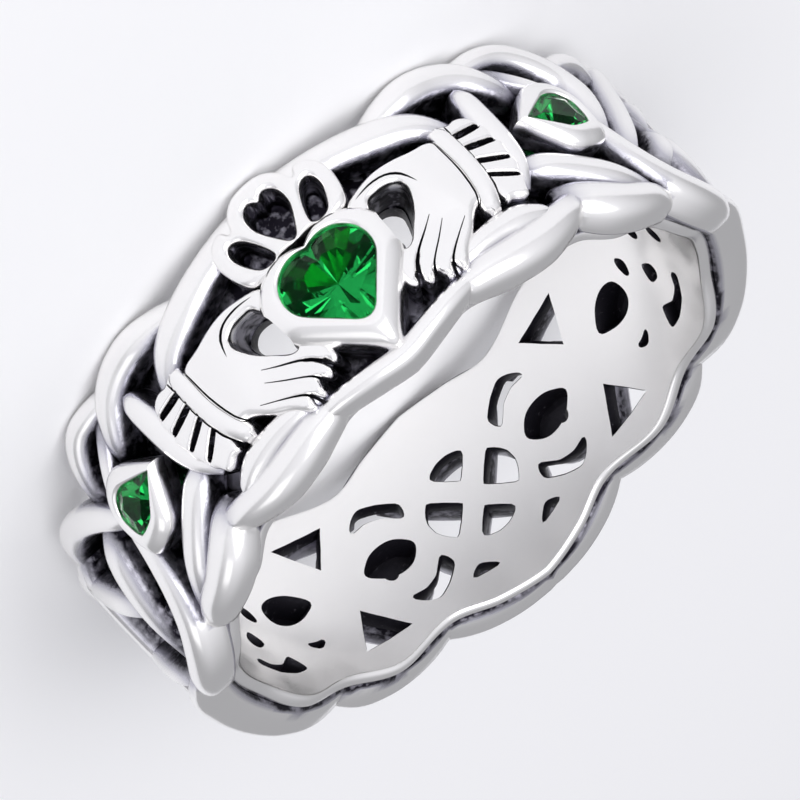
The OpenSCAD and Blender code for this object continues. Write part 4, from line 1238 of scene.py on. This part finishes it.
# %% Floor and light
# The floor is a matt painted board, which takes soft shadows and mirrors nothing
floor_material, tree = new_material("matt_white_board")
board = add(tree, "ShaderNodeBsdfPrincipled", {"Base Color": linear("#fbfbfc"), "Roughness": 0.7})
add(tree, "ShaderNodeOutputMaterial", Surface=board.outputs[0])
bm = bmesh.new()
bmesh.ops.create_grid(bm, x_segments=1, y_segments=1, size=0.5)
bmesh.ops.translate(bm, verts=bm.verts, vec=(0, 0, cad_box[0][2]))
floor = to_object(bm, "floor", (floor_material,))

world = bpy.data.worlds.new("tent")
bpy.context.scene.world = world
world.use_nodes = True
tree = world.node_tree
tree.nodes.clear()
direction = add(tree, "ShaderNodeTexCoord").outputs["Generated"]
# Where the tent is brightest, as a direction from the ring
BRIGHT_SIDE = (-0.15, -0.82, 0.55)
facing = add(tree, "ShaderNodeVectorMath", {"operation": "DOT_PRODUCT", 1: BRIGHT_SIDE}, in_0=direction)
sky = add(tree, "ShaderNodeMapRange", {
    "From Min": -0.4, "From Max": 0.95, "To Min": 0.44, "To Max": 0.97, "interpolation_type": "SMOOTHSTEP"},
    Value=facing.outputs["Value"])
tent = add(tree, "ShaderNodeBackground", {"Color": linear("#f4f4f9")}, Strength=sky.outputs[0])
add(tree, "ShaderNodeOutputWorld", Surface=tent.outputs[0])


def area_light(name, azimuth, elevation, distance, size, power):
    """A square soft lamp that looks at the ring, in metres and watts. Its azimuth counts from the heart."""
    a, e = math.radians(azimuth), math.radians(elevation)
    place = Vector((math.sin(a) * math.cos(e), -math.cos(a) * math.cos(e), math.sin(e))) * distance
    data = bpy.data.lights.new(name, "AREA")
    data.size = size
    data.energy = power
    made = bpy.data.objects.new(name, data)
    made.location = place
    made.rotation_euler = place.to_track_quat("Z", "Y").to_euler()
    bpy.context.scene.collection.objects.link(made)


area_light("key", -14, 44, 0.35, 0.3, 0.55)
area_light("fill", 70, 35, 0.4, 0.2, 0.06)

# %% [markdown]
# The camera looks from in front of the heart and above, and is rolled so that the finger hole runs from
# corner to corner of the picture, as in the photograph. A long lens from about 20 cm keeps the
# perspective slight. The values were fitted to the two rims of the finger hole in the photograph, with
# distances as shares of its radius.

# %% Camera
AZIMUTH, ELEVATION, ROLL = math.radians(4.2849), math.radians(22.5914), math.radians(224.6138)
DISTANCE = 23.0498 * BORE_R * MM
AIM_ACROSS, AIM_DOWN = 0.0296516 * BORE_R * MM, -0.0102418 * BORE_R * MM
LENS = 318.66
back = Vector((math.sin(AZIMUTH) * math.cos(ELEVATION), -math.cos(AZIMUTH) * math.cos(ELEVATION),
               math.sin(ELEVATION)))
right = (-back).cross(Vector((0, 0, 1))).normalized()
down = (-back).cross(right)
across = math.cos(ROLL) * right + math.sin(ROLL) * down
downward = math.cos(ROLL) * down - math.sin(ROLL) * right
data = bpy.data.cameras.new("camera")
data.lens = LENS
data.sensor_width = 36
data.clip_start = 0.01
camera = bpy.data.objects.new("camera", data)
place = back * DISTANCE - across * AIM_ACROSS - downward * AIM_DOWN
camera.matrix_world = Matrix.Translation(place) @ Matrix((across, -downward, back)).transposed().to_4x4()
bpy.context.scene.collection.objects.link(camera)
bpy.context.scene.camera = camera
bpy.context.scene.view_settings.view_transform = "Standard"
